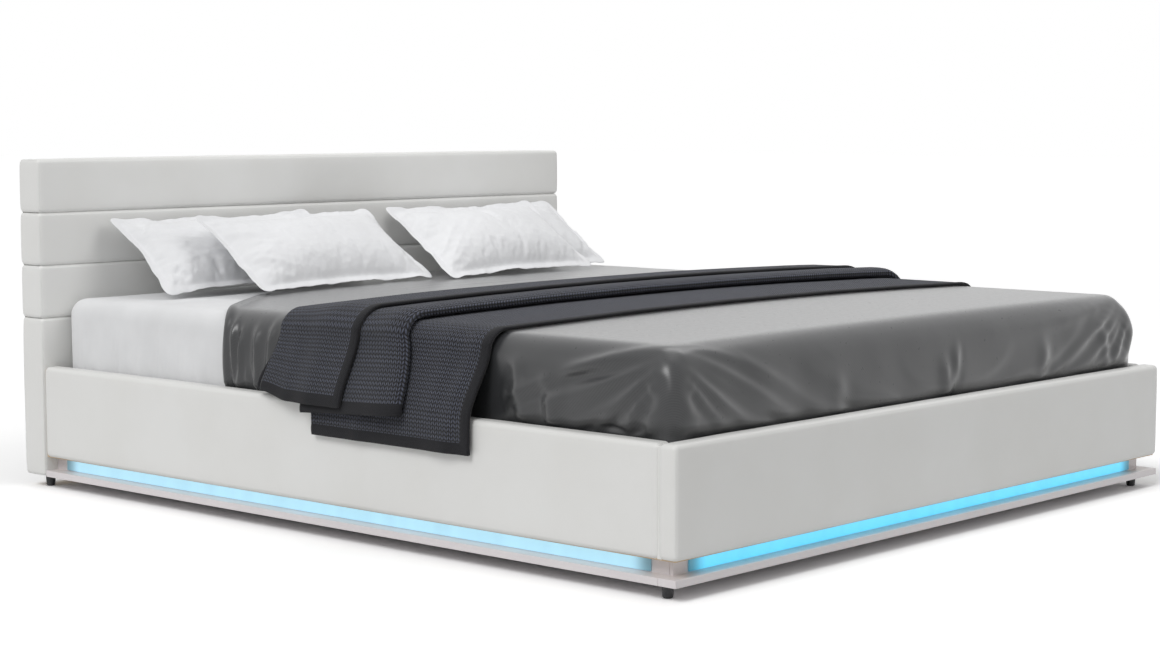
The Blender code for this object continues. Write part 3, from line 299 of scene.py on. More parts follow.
def box_skin(low, high, radius, cell, keep=lambda *_: True):
    """The rounded skin of a box as vertices, their outward normals and kept quads."""
    places = [edge_places(low[axis], high[axis], radius, cell[axis]) for axis in range(3)]
    last = [len(line) - 1 for line in places]
    numbers, lattice, faces = {}, [], []

    def vertex(*index):
        if index not in numbers:
            numbers[index] = len(lattice)
            lattice.append([places[axis][index[axis]] for axis in range(3)])
        return numbers[index]

    for axis in range(3):
        first, second = (axis + 1) % 3, (axis + 2) % 3
        for end in (0, last[axis]):
            for i in range(last[first]):
                for j in range(last[second]):
                    corners = [(i, j), (i + 1, j), (i + 1, j + 1), (i, j + 1)]
                    middle = [0, 0, 0]
                    middle[axis] = places[axis][end]
                    middle[first] = (places[first][i] + places[first][i + 1]) / 2
                    middle[second] = (places[second][j] + places[second][j + 1]) / 2
                    side = (axis, 1 if end else -1)
                    if not keep(side, middle):
                        continue
                    quad = []
                    for a, b in corners if end else corners[::-1]:
                        index = [0, 0, 0]
                        index[axis], index[first], index[second] = end, a, b
                        quad.append(vertex(*index))
                    faces.append(quad)
    lattice = np.array(lattice)
    core = np.clip(lattice, np.array(low) + radius, np.array(high) - radius)
    away = lattice - core
    away /= np.linalg.norm(away, axis=1)[:, None]
    return core + away * radius, away, faces


def new_mesh(name, points, faces, finish, smooth=True):
    mesh = bpy.data.meshes.new(name)
    mesh.from_pydata([tuple(point) for point in points], [], faces)
    mesh.update()
    if smooth:
        mesh.shade_smooth()
    made = bpy.data.objects.new(name, mesh)
    made.data.materials.append(finish)
    bpy.context.scene.collection.objects.link(made)
    return made


def thicken(obj, thickness, offset=-1):
    wall = obj.modifiers.new("wall", "SOLIDIFY")
    wall.thickness = thickness
    wall.offset = offset
    wall.use_even_offset = True


def subdivide(obj):
    finer = obj.modifiers.new("finer", "SUBSURF")
    finer.levels = finer.render_levels = 1


def lay_flat(obj, flat):
    """Gives a cloth's mesh the places of its vertices in the flat cloth."""
    corners = np.zeros(len(obj.data.loops), np.int32)
    obj.data.loops.foreach_get("vertex_index", corners)
    obj.data.uv_layers.new(name="cloth").data.foreach_set("uv", flat[corners].ravel())


def uneven(points, scale, seed):
    """Smooth noise from -1 to 1 at each point."""
    shift = Vector((seed, 2 * seed, 3 * seed))
    return np.array([noise.noise(Vector(point) * scale + shift) for point in points])


def upholster(name, low, high, radius, cell, keep, puff, seed, replaced):
    """A padded leather cover that stands for CAD nodes, with a soft crown and uneven foam."""
    points, away, faces = box_skin(low, high, radius, cell, keep)
    low, high = np.array(low), np.array(high)
    share = 2 * (points - (low + high) / 2) / (high - low)
    full = np.clip(1 - np.abs(share) ** 6, 0, 1)
    crown = np.prod(np.where(np.abs(away) > 0.7, 1, full), axis=1)
    lift = puff * crown + 0.0005 * uneven(points, 9, seed) * full.max(axis=1)
    made = new_mesh(name, points + away * lift[:, None], faces, LEATHER)
    thicken(made, LEATHER_THICKNESS)
    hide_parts(*replaced)
    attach(made, "frame")


def build_rail_covers():
    for side_name, side in SIDES:
        node = f"side_rail_{side_name}_cover"
        low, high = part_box(node)

        def keep(face, middle, side=side, high=high):
            return face != (0, -side) or middle[2] > high.z - RETURN

        upholster(f"rail_leather_{side_name}", low, high, EDGE_RADIUS, (0.012, 0.016, 0.014), keep,
                  0.0012, 3 + side, [node])


def build_foot_cover():
    low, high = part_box("foot_panel_cover")

    def keep(face, middle):
        return (face != (1, 1) or middle[2] > high.z - RETURN
                or abs(middle[0]) > high.x - RETURN)

    upholster("foot_panel_leather", low, high, EDGE_RADIUS, (0.016, 0.012, 0.014), keep, 0.0012, 5,
              ["foot_panel_cover"])


def build_seam_returns():
    """The leather's turned-in edges at the seams between the foot panel and the rails."""
    low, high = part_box("foot_panel_cover")
    for side_name, side in SIDES:
        outer, inner = side * (high.x - 0.0045), side * (high.x - 0.030)
        points, _, faces = box_skin(
            (min(outer, inner), high.y - 0.0060, low.z + 0.0008),
            (max(outer, inner), high.y + 0.0060, high.z - 0.006), 0.0015, (0.02, 0.01, 0.05))
        made = new_mesh(f"seam_return_{side_name}", points, faces, LEATHER)
        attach(made, "frame")


def build_headboard_cover():
    """One padded band for each stretch between the headboard's sewn channels."""
    low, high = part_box("headboard_cover")
    edges = [high.z, *[high.z - GROOVE_FROM_TOP - GROOVE_PITCH * step for step in range(3)], low.z]
    for number, (top, bottom) in enumerate(zip(edges, edges[1:])):
        def keep(face, middle, top=top):
            if face == (1, 1):
                return False
            inside = min(middle[0] - low.x, high.x - middle[0], middle[1] - low.y)
            return face[0] != 2 or (face[1] == 1 and top == high.z) or inside < PAD_DEPTH

        upholster(f"headboard_pad_{number + 1}", (low.x, low.y, bottom), (high.x, high.y, top),
                  0.009, (0.014, 0.014, 0.012), keep, 0.002, 11 + number, ["headboard_cover"])


# Bedding

def run_cloth(obj, frames, gravity=0.0, collide=False, **rules):
    """Runs cloth on an object and returns where its vertices end."""
    cloth = obj.modifiers.new("cloth", "CLOTH")
    for name, value in rules.items():
        setattr(cloth.settings, name, value)
    cloth.settings.effector_weights.gravity = gravity
    cloth.collision_settings.use_collision = collide
    cloth.collision_settings.distance_min = 0.002
    cloth.point_cache.frame_end = frames
    scene = bpy.context.scene
    for frame_number in range(1, frames + 1):
        scene.frame_set(frame_number)
    evaluated = obj.evaluated_get(bpy.context.evaluated_depsgraph_get())
    points = np.array([vert.co for vert in evaluated.data.vertices])
    obj.modifiers.remove(cloth)
    scene.frame_set(1)
    return points


def capped(moved, most):
    """Moves shortened smoothly so that none is longer than its limit."""
    length = np.linalg.norm(moved, axis=1)
    return moved * (most * np.tanh(length / most) / np.maximum(length, 1e-9))[:, None]


def smooth_step(value, low, high):
    share = np.clip((value - low) / (high - low), 0, 1)
    return share * share * (3 - 2 * share)


def cotton(name, colour, crease=0.5):
    """Bleached cotton: a fine plain weave with soft unevenness."""
    made = Finish(name, colour, 0.88, Sheen_Weight=0.25, Sheen_Roughness=0.6)
    made.tone(tuple(0.93 * part for part in colour), made.ramp(made.noise(9, 4), 0.35, 0.7))
    warp, weft = made.wave("X", {"Scale": 480.0}), made.wave("Z", {"Scale": 480.0})
    made.bump(made.math("ADD", warp, weft), 0.12, 0.0003)
    made.bump(made.noise(42, 4), crease, 0.0012)
    return made.material


PILLOWCASE = cotton("pillowcase_cotton", (0.80, 0.805, 0.82))
SHEET = cotton("sheet_cotton", (0.775, 0.78, 0.79), 0.3)

MATTRESS_LOW, MATTRESS_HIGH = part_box("mattress")
MATTRESS_HALF = 0.890
MATTRESS_HEAD = 0.979
MATTRESS_TOP = 0.478
MATTRESS_RADIUS = 0.042
MATTRESS_CROWN = 0.012
DUVET_HALF = MATTRESS_HIGH.x + 0.009
DUVET_WIDEST = 0.930
DUVET_FOOT = MATTRESS_LOW.y - 0.009
DUVET_TOP = 0.487
DUVET_UNDER = 0.20
DUVET_BULGE = 0.003
DUVET_RADIUS = 0.052
DUVET_HEM = 0.290
DUVET_REACH = 0.96
DUVET_THICKNESS = 0.006
DUVET_CLEARANCE = 0.0035
RAIL_TOP = 0.308
RAIL_INSIDE = 0.905
FOOT_INSIDE = -1.0275


def crown_at(x, y):
    """How far the middle of the bed rises above its edges."""
    middle = (MATTRESS_LOW.y + MATTRESS_HEAD) / 2
    along = (y - middle) / (MATTRESS_HEAD - middle)
    return MATTRESS_CROWN * np.clip(1 - (x / MATTRESS_HALF) ** 2, 0, 1) \
        * np.clip(1 - along ** 2, 0, 1)


def duvet_surface(x, y):
    return DUVET_TOP + DUVET_BULGE * np.clip(1 - (x / DUVET_HALF) ** 2, 0, 1) + crown_at(x, y)


def ridge(distance, width):
    return np.exp(-(distance / width) ** 2)


def build_mattress():
    """The mattress in its fitted sheet, with soft folds where the sheet shows."""
    low = (-MATTRESS_HALF, MATTRESS_LOW.y, MATTRESS_LOW.z)
    high = (MATTRESS_HALF, MATTRESS_HEAD, MATTRESS_TOP)
    points, away, faces = box_skin(low, high, MATTRESS_RADIUS, (0.02, 0.014, 0.014))
    x, y, z = points.T
    bare = smooth_step(y, 0.36, 0.46)
    side = np.abs(away[:, 0]) * bare
    hang = smooth_step(MATTRESS_TOP - z, 0.02, 0.14)
    fold = np.zeros(len(points))
    for place, width, slant, height in ((0.43, 0.014, 0.06, 2.6), (0.52, 0.020, -0.10, 2.0),
                                        (0.585, 0.012, 0.03, 2.4), (0.66, 0.024, 0.08, 1.8),
                                        (0.755, 0.016, -0.05, 2.2), (0.83, 0.020, 0.04, 1.6),
                                        (0.915, 0.014, -0.04, 2.4)):
        fold += 0.0034 * height * ridge(y - place - slant * (MATTRESS_TOP - z), width)
    shift = side * fold * hang + 0.0012 * bare * uneven(points, 7, 21)
    shift += np.where(away[:, 2] > 0.7, crown_at(x, y), 0)
    finish_low = np.where(away[:, 2] < -0.7, 0, 1)
    made = new_mesh("mattress_in_sheet", points + away * (shift * finish_low)[:, None], faces,
                    SHEET)
    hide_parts("mattress")
    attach(made, "platform")


# Duvet

def satin():
    """Grey satin: fine twill lines and a soft gloss that shows every crease."""
    made = Finish("grey_satin", (0.033, 0.034, 0.036), 0.34, Sheen_Weight=0.52,
                  Sheen_Roughness=0.20, Specular_IOR_Level=0.18, Coat_Weight=1.0,
                  Coat_Roughness=0.33)
    made.use_uv()
    twill = made.wave("DIAGONAL", {"Scale": 85.0, "Distortion": 0.6})
    patches = made.ramp(made.noise(11, 5), 0.35, 0.7)
    made.tone((0.018, 0.019, 0.021), made.math("MULTIPLY", made.ramp(twill, 0.2, 0.9),
                                               made.ramp(patches, 0, 1, 0.45, 0.75)))
    made.bump(twill, 0.07, 0.0004)
    made.rough(made.noise(70, 3), 0.27, 0.38)
    made.bump(made.noise(130, 2), 0.06, 0.0005)
    made.bump(made.noise(26, 3, (1, 1, 0.6)), 0.18, 0.0016)
    return made.material


SATIN = satin()
HEAD_EDGE_X = (-0.93, -0.90, -0.86, -0.75, -0.61, -0.42, -0.23, 0.0, 0.24, 0.55, 0.93)
HEAD_EDGE_Y = (0.318, 0.332, 0.365, 0.448, 0.546, 0.665, 0.760, 0.838, 0.885, 0.915, 0.930)


def head_edge(x):
    """The duvet's edge near the headboard, turned back towards the foot at the left."""
    return np.interp(x, HEAD_EDGE_X, HEAD_EDGE_Y)


def corner_creases(y, depth, seed):
    """Creases that fan out of a foot corner down a side: ridge height at each place."""
    from_corner = y - DUVET_FOOT
    run = np.hypot(from_corner, depth)
    angle = np.arctan2(depth + 0.01, from_corner + 0.01)
    draw = np.random.default_rng(seed)
    height = np.zeros(len(y))
    for degrees, length in ((9, 0.46), (17, 0.36), (27, 0.27), (39, 0.25), (53, 0.20), (70, 0.17)):
        bend = radians(degrees + draw.uniform(-2, 2)) + 0.5 * (run - 0.1) * draw.uniform(-1, 1)
        width = 0.0045 + 0.020 * run
        rise = draw.uniform(0.0085, 0.0135) * np.exp(-(run / length) ** 3) \
            * smooth_step(run, 0.02, 0.09)
        height += rise * ridge((angle - bend) * run, width)
        height -= 0.6 * rise * ridge((angle - bend) * run - 1.9 * width, width * 1.2)
    return height


def hanging_folds(y, depth, folds):
    """Upright folds down a side: (place, width, height in mm, slant, depth where it starts)."""
    height = np.zeros(len(y))
    for place, width, rise, slant, start in folds:
        line = y - place - slant * depth
        begun = smooth_step(depth, start, start + 0.06)
        height += 0.0026 * rise * ridge(line, width) * begun
        height -= 0.0013 * rise * ridge(line - 1.8 * width, width) * begun
    return height


LEFT_FOLDS = ((0.300, 0.010, 5.0, -0.10, 0.0), (0.262, 0.008, 4.0, 0.05, 0.02),
              (0.215, 0.012, 5.5, -0.06, 0.01), (0.160, 0.010, 4.0, 0.04, 0.0),
              (-0.600, 0.016, 4.0, -0.18, 0.02), (-0.672, 0.012, 3.0, -0.25, 0.05),
              (-0.745, 0.020, 3.0, 0.20, 0.06))
RIGHT_FOLDS = ((0.72, 0.014, 4.0, 0.08, 0.02), (0.55, 0.018, 3.5, -0.10, 0.03),
               (0.36, 0.014, 3.5, 0.10, 0.02), (0.22, 0.012, 3.0, -0.06, 0.05),
               (-0.62, 0.018, 3.5, 0.15, 0.03), (-0.75, 0.014, 3.0, -0.10, 0.05))
FOOT_FOLDS = ((0.02, 0.016, 3.0, 0.12, 0.06), (0.10, 0.012, 2.6, -0.25, 0.03),
              (-0.38, 0.024, 1.8, 0.1, 0.06), (0.47, 0.020, 2.2, -0.15, 0.05),
              (0.72, 0.014, 2.2, 0.2, 0.04))


def throw_cover(y):
    """1 where the throw lies on the duvet, 0 well outside it."""
    return smooth_step(y, -0.60, -0.56) * (1 - smooth_step(y, 0.14, 0.18))


def pillow_cover(y):
    """1 where the pillows lie on the duvet, 0 well before them."""
    return smooth_step(y, 0.52, 0.58)


def eased(points, faces, weight, rounds):
    """Points drawn towards the middle of their neighbours, by weight in each round."""
    edges = {tuple(sorted(pair)) for face in faces for pair in zip(face, face[1:] + face[:1])}
    first, second = np.array(sorted(edges)).T
    count = np.bincount(np.concatenate([first, second]), minlength=len(points))
    for _ in range(rounds):
        total = np.zeros_like(points)
        np.add.at(total, first, points[second])
        np.add.at(total, second, points[first])
        points = points + weight[:, None] * (total / count[:, None] - points)
    return points


def settle(rest, faces, free, most):
    """The duvet's cloth drawn tight over a block, each point moved by no more than its limit."""
    cloth = new_mesh("duvet_cloth", rest, faces, SATIN)
    held = cloth.vertex_groups.new(name="held")
    held.add([n for n in range(len(rest)) if not free[n]], 1.0, "REPLACE")
    inset = 0.004
    inner, away, inner_faces = box_skin(
        (-DUVET_HALF + inset, DUVET_FOOT + inset, DUVET_UNDER),
        (DUVET_HALF - inset, 1.02, DUVET_TOP - inset), DUVET_RADIUS - inset, (0.06, 0.06, 0.06))
    rise = np.where(away[:, 2] > 0.7, duvet_surface(inner[:, 0], inner[:, 1]) - DUVET_TOP, 0)
    block = new_mesh("duvet_block", inner + away * rise[:, None], inner_faces, SATIN)
    block.modifiers.new("collision", "COLLISION")
    block.collision.thickness_outer = 0.002
    moved = run_cloth(cloth, 26, gravity=0.6, collide=True, quality=5, mass=0.3,
                      tension_stiffness=18, compression_stiffness=18, shear_stiffness=6,
                      bending_stiffness=0.6, vertex_group_mass="held",
                      shrink_min=-0.022, shrink_max=-0.022) - rest
    bpy.data.objects.remove(cloth)
    bpy.data.objects.remove(block)
    return rest + capped(moved, most)


def clear_of_mattress(points, topside):
    """Points moved out of the mattress, whose edges are rounder than the duvet's."""
    low = np.array([-MATTRESS_HALF, MATTRESS_LOW.y, MATTRESS_LOW.z])
    high = np.array([MATTRESS_HALF, MATTRESS_HEAD, MATTRESS_TOP])
    middle = (high + low) / 2
    beyond = np.maximum(np.abs(points - middle) - ((high - low) / 2 - MATTRESS_RADIUS), 0)
    length = np.maximum(np.linalg.norm(beyond, axis=1), 1e-9)
    short = np.clip(MATTRESS_RADIUS + DUVET_CLEARANCE - length, 0, None) * (1 - topside)
    return points + np.sign(points - middle) * beyond * (short / length)[:, None]


def build_duvet():
    low = (-DUVET_HALF, DUVET_FOOT, DUVET_UNDER)
    high = (DUVET_HALF, DUVET_REACH + DUVET_RADIUS, DUVET_TOP)

    def keep(face, middle):
        return face != (1, 1) and face != (2, -1) and middle[2] > DUVET_HEM - 0.004 \
            and middle[1] < DUVET_REACH

    points, away, faces = box_skin(low, high, DUVET_RADIUS, (0.014, 0.014, 0.009), keep)
    used = sorted({number for face in faces for number in face})
    renumber = {old: new for new, old in enumerate(used)}
    faces = [[renumber[number] for number in face] for face in faces]
    points, away = points[used], away[used]
    # The rows of the mesh bend with the head edge, less and less towards the foot.
    x, y, z = points.T.copy()
    reach = points[:, 1].max()
    pull = smooth_step(y, -0.2, reach + 0.9) / smooth_step(reach, -0.2, reach + 0.9)
    y = y + pull * (head_edge(x) - reach)
    points[:, 1] = y
    depth = DUVET_TOP - z
    topside = np.clip(away[:, 2], 0, 1) ** 2
    left, right = np.clip(-away[:, 0], 0, 1), np.clip(away[:, 0], 0, 1)
    foot = np.clip(-away[:, 1], 0, 1)
    sides = left + right + foot
    hidden = np.maximum(throw_cover(y), pillow_cover(y) * topside)
    lift = topside * (duvet_surface(x, y) - DUVET_TOP)
    folds = left * (corner_creases(y, depth, 5) + hanging_folds(y, depth, LEFT_FOLDS))
    folds += right * (corner_creases(y, depth, 6) + hanging_folds(y, depth, RIGHT_FOLDS))
    folds += foot * (0.6 * corner_creases(DUVET_HALF + x + DUVET_FOOT, depth, 8)
                     + 0.6 * corner_creases(DUVET_HALF - x + DUVET_FOOT, depth, 9)
                     + hanging_folds(x, depth, FOOT_FOLDS))
    lift += folds * (1 - 0.9 * hidden) * smooth_step(z, DUVET_HEM, DUVET_HEM + 0.03)
    # The corners hang in one upright fold each, with a hollow beside it.
    corner = 2 * np.abs(away[:, 0] * away[:, 1])
    lift += 0.013 * corner ** 1.3 * smooth_step(depth, 0.0, 0.11)
    beside = y - DUVET_FOOT - 0.062 - 0.05 * depth
    lift -= 0.006 * (left + right) * ridge(beside, 0.012) * smooth_step(depth, 0.02, 0.08)
    # The sides lean out, swell halfway down and are never quite even.
    lean = smooth_step(depth, 0.0, 0.17)
    plump = np.sin(np.pi * np.clip(depth / 0.18, 0, 1))
    lift += sides * (0.006 * lean - 0.003 + 0.011 * plump) * (1 - hidden)
    soft = uneven(points * (1.0, 1.0, 0.55) + (0, 0, 0.35) * y[:, None], 9, 44)
    lift += sides * 0.005 * soft * (1 - 0.8 * hidden) * smooth_step(depth, 0, 0.06)
    # The head edge ends in a soft roll.
    lift += 0.006 * ridge(y - head_edge(x) + 0.012, 0.014) * (1 - pillow_cover(y))
    settled = points + away * lift[:, None]
    loose = 0.009 * (1 - topside) + 0.0035 * topside
    most = loose * (1 - hidden) * smooth_step(z, DUVET_HEM, DUVET_HEM + 0.05)
    settled = settle(settled, faces, z >= DUVET_HEM + 0.012, np.maximum(most, 0.0004))
    loose_corner = np.clip(3 * corner, 0, 1) * smooth_step(z, DUVET_HEM, DUVET_HEM + 0.04)
    settled = eased(settled, faces, 0.55 * loose_corner * (1 - hidden), 4)
    settled = clear_of_mattress(settled, topside)
    # Below the rails' tops the duvet is tucked between mattress and frame.
    tucked = smooth_step(z, RAIL_TOP - 0.004, RAIL_TOP + 0.016) < 0.5
    limit = np.where(tucked, RAIL_INSIDE - 0.0005, DUVET_WIDEST)
    settled[:, 0] = np.clip(settled[:, 0], -limit, limit)
    settled[:, 1] = np.where(tucked, np.maximum(settled[:, 1], FOOT_INSIDE), settled[:, 1])
    made = new_mesh("duvet_satin", settled, faces, SATIN)
    lay_flat(made, np.stack([x + (right - left) * depth, y - foot * depth], axis=1))
    thicken(made, DUVET_THICKNESS)
    subdivide(made)
    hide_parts("duvet")
    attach(made, "platform")


# Throw

ROW_PITCH = 0.009
STITCH_WIDTH = 0.0115
THROW_THICKNESS = 0.0065
BORDER_WIDTH = 0.023
SHOULDER_X = 0.9035
DRAPE_X = 0.9575
DRAPE_RADIUS = 0.045
THROW_FOOT = -0.545
ROLL_EDGE = -0.300
ROLL_RADIUS = 0.0105
CURL_WIDTH_SHARE = 3.0
UPPER_EDGE = -0.175
UPPER_HEAD = 0.122


def knit():
    """Charcoal knit: stitches as V forms in columns, with dark gaps between the rows."""
    made = Finish("charcoal_knit", (0.112, 0.124, 0.175), 0.95, Sheen_Weight=0.12,
                  Sheen_Roughness=0.6, Specular_IOR_Level=0.25)
    made.use_uv()
    split = made.node("SeparateXYZ", {"Vector": made.place})
    math = made.math
    column = math("DIVIDE", split.outputs["Y"], STITCH_WIDTH)
    across = math("ABSOLUTE", math("SUBTRACT", math("FRACT", column), 0.5))
    row = math("DIVIDE", split.outputs["X"], ROW_PITCH)
    slanted = math("FRACT", math("MULTIPLY_ADD", across, 1.5, row))
    strand = math("SINE", math("MULTIPLY", slanted, pi))
    leg = math("ABSOLUTE", math("SINE", math("MULTIPLY", column, 2 * pi)))
    stitch = math("MULTIPLY", math("POWER", strand, 0.8), math("POWER", leg, 0.8))
    fibres = made.noise(900, 3)
    uneven_rows = made.noise(150, 2, (1.0, 0.035, 1.0))
    shade = math("MULTIPLY", made.ramp(stitch, 0.35, 0.90), made.ramp(fibres, 0.2, 0.7, 0.6, 1.0))
    shade = math("MULTIPLY", shade, made.ramp(uneven_rows, 0.35, 0.62, 0.68, 1.0))
    made.tone((0.004, 0.004, 0.006), math("SUBTRACT", 1.0, shade))
    made.bump(math("MULTIPLY_ADD", fibres, 0.25, stitch), 1.0, 0.0030)
    return made.material


def border_cloth():
    """The throw's black border: tight crosswise ribs."""
    made = Finish("black_border", (0.010, 0.010, 0.012), 0.95, Sheen_Weight=0.06,
                  Sheen_Roughness=0.6, Specular_IOR_Level=0.25)
    made.use_uv()
    made.tone((0.018, 0.018, 0.021), made.ramp(made.noise(300, 3), 0.4, 0.7))
    made.bump(made.wave("DIAGONAL", {"Scale": 110.0, "Distortion": 1.2}), 0.35, 0.0008)
    made.bump(made.noise(800, 2), 0.3, 0.0006)
    return made.material


KNIT = knit()
BORDER = border_cloth()


def drape_line(hem):
    """The drop in section, from the bed's middle to a hem: x, z, outward x, outward z, run."""
    turn_x = SHOULDER_X - DRAPE_RADIUS
    top = DUVET_TOP + DUVET_BULGE / 8
    turn_z = top - DRAPE_RADIUS
    lean = atan2(DRAPE_X - SHOULDER_X, turn_z - RAIL_TOP)
    line = [(turn_x * share / 40, top, 0.0, 1.0) for share in range(40)]
    for step in range(25):
        angle = pi / 2 + (lean - pi / 2) * step / 24
        line.append((turn_x + DRAPE_RADIUS * cos(angle), turn_z + DRAPE_RADIUS * sin(angle),
                     cos(angle), sin(angle)))
    x, z = line[-1][:2]
    for step in range(1, 41):
        fall = z + (hem - z) * step / 40
        over = smooth_step((z - fall) / (z - RAIL_TOP), 0, 1.05)
        line.append((x + (DRAPE_X - x) * over, fall, cos(lean * (1 - over)),
                     sin(lean * (1 - over))))
    line = np.array(line)
    run = np.concatenate([[0], np.cumsum(np.hypot(*np.diff(line[:, :2], axis=0).T))])
    return line, run


def throw_layer(name, edges, hem, rises, folds, seed, finishes=(KNIT, BORDER),
                bordered=(True, False), border=BORDER_WIDTH, curl=0.0, slant=0.0, corner=0.0,
                step=0.003):
    """One ply of the throw, from hem to hem, as a sheet across the bed.

    edges: its foot and head edge along the bed, at each run from the bed's middle.
    rises: (y, height of the ply's middle over the duvet) from foot to head.
    folds: soft upright folds on the drops.
    curl: radius at which the foot edge turns under, as the fold of a doubled throw.
    slant: how much lower the hem hangs towards the head, and corner how much its end curls up.
    bordered: whether the foot and the head edge have the border that the hems have.
    """
    line, run = drape_line(hem)
    whole = run[-1]
    half = np.linspace(0, whole, int(whole / step) + 1)
    stations = np.concatenate([-half[:0:-1], half])
    total = len(stations)
    sections = np.stack([np.interp(np.abs(stations), run, line[:, n]) for n in range(4)], axis=1)
    sections[:, [0, 2]] *= np.where(stations < 0, -1, 1)[:, None]
    sections[:, 2:] /= np.hypot(sections[:, 2], sections[:, 3])[:, None]
    foot, head = edges(stations)
    inner = np.linspace(0, 1, max(6, int((head - foot).max() / 0.016)))
    ends = np.array([0, 0.2, 0.4, 0.6, 0.8])
    if curl:
        angles = np.linspace(-pi / 2, pi / 2, 17)
        wide = CURL_WIDTH_SHARE * curl
        start = np.concatenate([[wide + 0.030, wide + 0.015], wide - wide * np.cos(angles)])
        start_lift = np.concatenate([np.zeros(2), curl + curl * np.sin(angles)])
    else:
        start, start_lift = border * ends, np.zeros(len(ends))
    first = start[-1] if curl else border
    places = np.stack([np.concatenate([
        foot[i] + start,
        foot[i] + first + (head[i] - foot[i] - first - border) * (inner[1:] if curl else inner),
        head[i] - border * ends[::-1]]) for i in range(total)])
    columns = places.shape[1]
    xs = np.repeat(sections[:, 0:1], columns, axis=1)
    zs = np.repeat(sections[:, 1:2], columns, axis=1)
    top = np.clip(sections[:, 3:4], 0, 1) ** 2
    drop = 1 - top
    lift = np.interp(places, [y for y, _ in rises], [rise for _, rise in rises])
    if curl:
        lift[:, :len(start)] = rises[0][1] - 2 * curl + start_lift[None, :]
    reach = np.abs(stations)[:, None] * np.ones_like(places)
    from_hem = whole - reach
    ribs = 0.0007 * (np.abs(np.sin(pi * stations / ROW_PITCH))[:, None] - 0.6)
    from_foot = places - foot[:, None] if bordered[0] else np.full_like(places, 9.0)
    from_head = head[:, None] - places if bordered[1] else np.full_like(places, 9.0)
    inside = np.minimum(np.minimum(from_hem, from_foot), from_head)
    plain = smooth_step(inside, border - 0.002, border + 0.002)
    round_edge = np.sin(pi * np.clip(inside / border, 0, 1)) * (inside < border)
    lift = lift + ribs * plain + 0.0016 * round_edge
    soft = uneven(np.stack([xs.ravel(), places.ravel(), zs.ravel()], axis=1), 6, seed)
    lift = lift + 0.0024 * (soft.reshape(places.shape) + 0.4) * (0.35 + 0.65 * drop)
    for place, width, rise, lean in folds:
        lift += 0.001 * rise * drop * ridge(places - place - lean * (reach - 0.92), width)
    crown = duvet_surface(xs, places) - (DUVET_TOP + DUVET_BULGE / 8)
    low = np.clip((reach - 0.90) / (whole - 0.90), 0, 1)
    sag = slant * (places - foot[:, None]) * low
    curled = smooth_step(places, (head - 0.10)[:, None], head[:, None])
    points = np.stack([xs + sections[:, 2:3] * lift, places,
                       zs + crown * top + sections[:, 3:4] * lift - sag
                       + corner * curled * low ** 2], axis=2)
    faces, tags = [], []
    for i in range(total - 1):
        for j in range(columns - 1):
            a = i * columns + j
            faces.append([a, a + columns, a + columns + 1, a + 1])
            tags.append(plain[i, j] + plain[i + 1, j + 1] < 1.0)
    made = new_mesh(name, points.reshape(-1, 3), faces, finishes[0])
    made.data.materials.append(finishes[1])
    made.data.polygons.foreach_set("material_index", np.array(tags, np.int32))
    along = np.concatenate([np.zeros((total, 1)), np.cumsum(
        np.linalg.norm(np.diff(points, axis=1), axis=2), axis=1)], axis=1)
    lay_flat(made, np.stack([np.repeat(stations[:, None], columns, axis=1).ravel(),
                             (along + foot.mean()).ravel()], axis=1))
    thicken(made, THROW_THICKNESS, 0)
    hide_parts("throw")
    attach(made, "platform")
    return made


def edges_at(foot, head, foot_drift=0.0, foot_hang=0.0, head_drift=0.0, head_hang=0.0):
    """Edges of a ply: nearly straight across the bed, drifting along the drops."""
    def edges(stations):
        hang = smooth_step(np.abs(stations), 0.84, 1.06)
        wave = 0.006 * np.sin(2.3 * stations + 9 * foot)
        return (foot + wave + foot_drift * stations + foot_hang * hang,
                head + wave + head_drift * stations + head_hang * hang)
    return edges


def build_throw():
    """A knitted throw folded in three: a long ply, the fold's roll and the short upper ply.

    A strip of its satin lining shows at the head edge.
    """
    seat = THROW_THICKNESS / 2 + 0.0012
    gap = THROW_THICKNESS + 0.0006
    under = seat + gap
    over = under + 2 * ROLL_RADIUS
    top = over + gap
    low_ply = throw_layer(
        "throw_ply_low", edges_at(THROW_FOOT, -0.010, -0.010, 0.010, 0, -0.025), 0.236,
        ((THROW_FOOT, seat), (-0.36, seat + 0.0005), (0, seat)),
        ((-0.49, 0.020, 5.0, 0.12), (-0.41, 0.026, 4.0, -0.1), (-0.20, 0.02, 3.0, 0.05)), 31)
    roll = throw_layer(
        "throw_roll", edges_at(ROLL_EDGE, -0.040, -0.006, -0.052, 0, 0.010), 0.304,
        ((ROLL_EDGE - 0.06, over), (ROLL_EDGE + 0.045, over), (UPPER_EDGE + 0.01, over - 0.009),
         (-0.06, over - 0.010)), ((-0.25, 0.03, 3.0, -0.25),), 32, bordered=(False, False),
        curl=ROLL_RADIUS, slant=0.06)
    upper_ply = throw_layer(
        "throw_ply_upper", edges_at(UPPER_EDGE, UPPER_HEAD, -0.012, -0.004, 0.012, 0.008), 0.306,
        ((UPPER_EDGE - 0.02, top - 0.007), (UPPER_EDGE + 0.05, top - 0.008), (-0.06, top - 0.009),
         (0.04, under + 0.006), (UPPER_HEAD, seat + gap)),
        ((-0.03, 0.03, 3.5, -0.1), (0.05, 0.022, 3.0, -0.12)), 33, corner=0.016)
    lining = throw_layer(
        "throw_lining", edges_at(0.0, UPPER_HEAD - 0.016, 0, 0, 0.010, 0.052), 0.312,
        ((0.0, seat), (0.2, seat)), ((0.12, 0.012, 3.0, -0.1),), 34, finishes=(SATIN, BORDER),
        bordered=(False, True), border=0.009, corner=0.010)


# Pillows

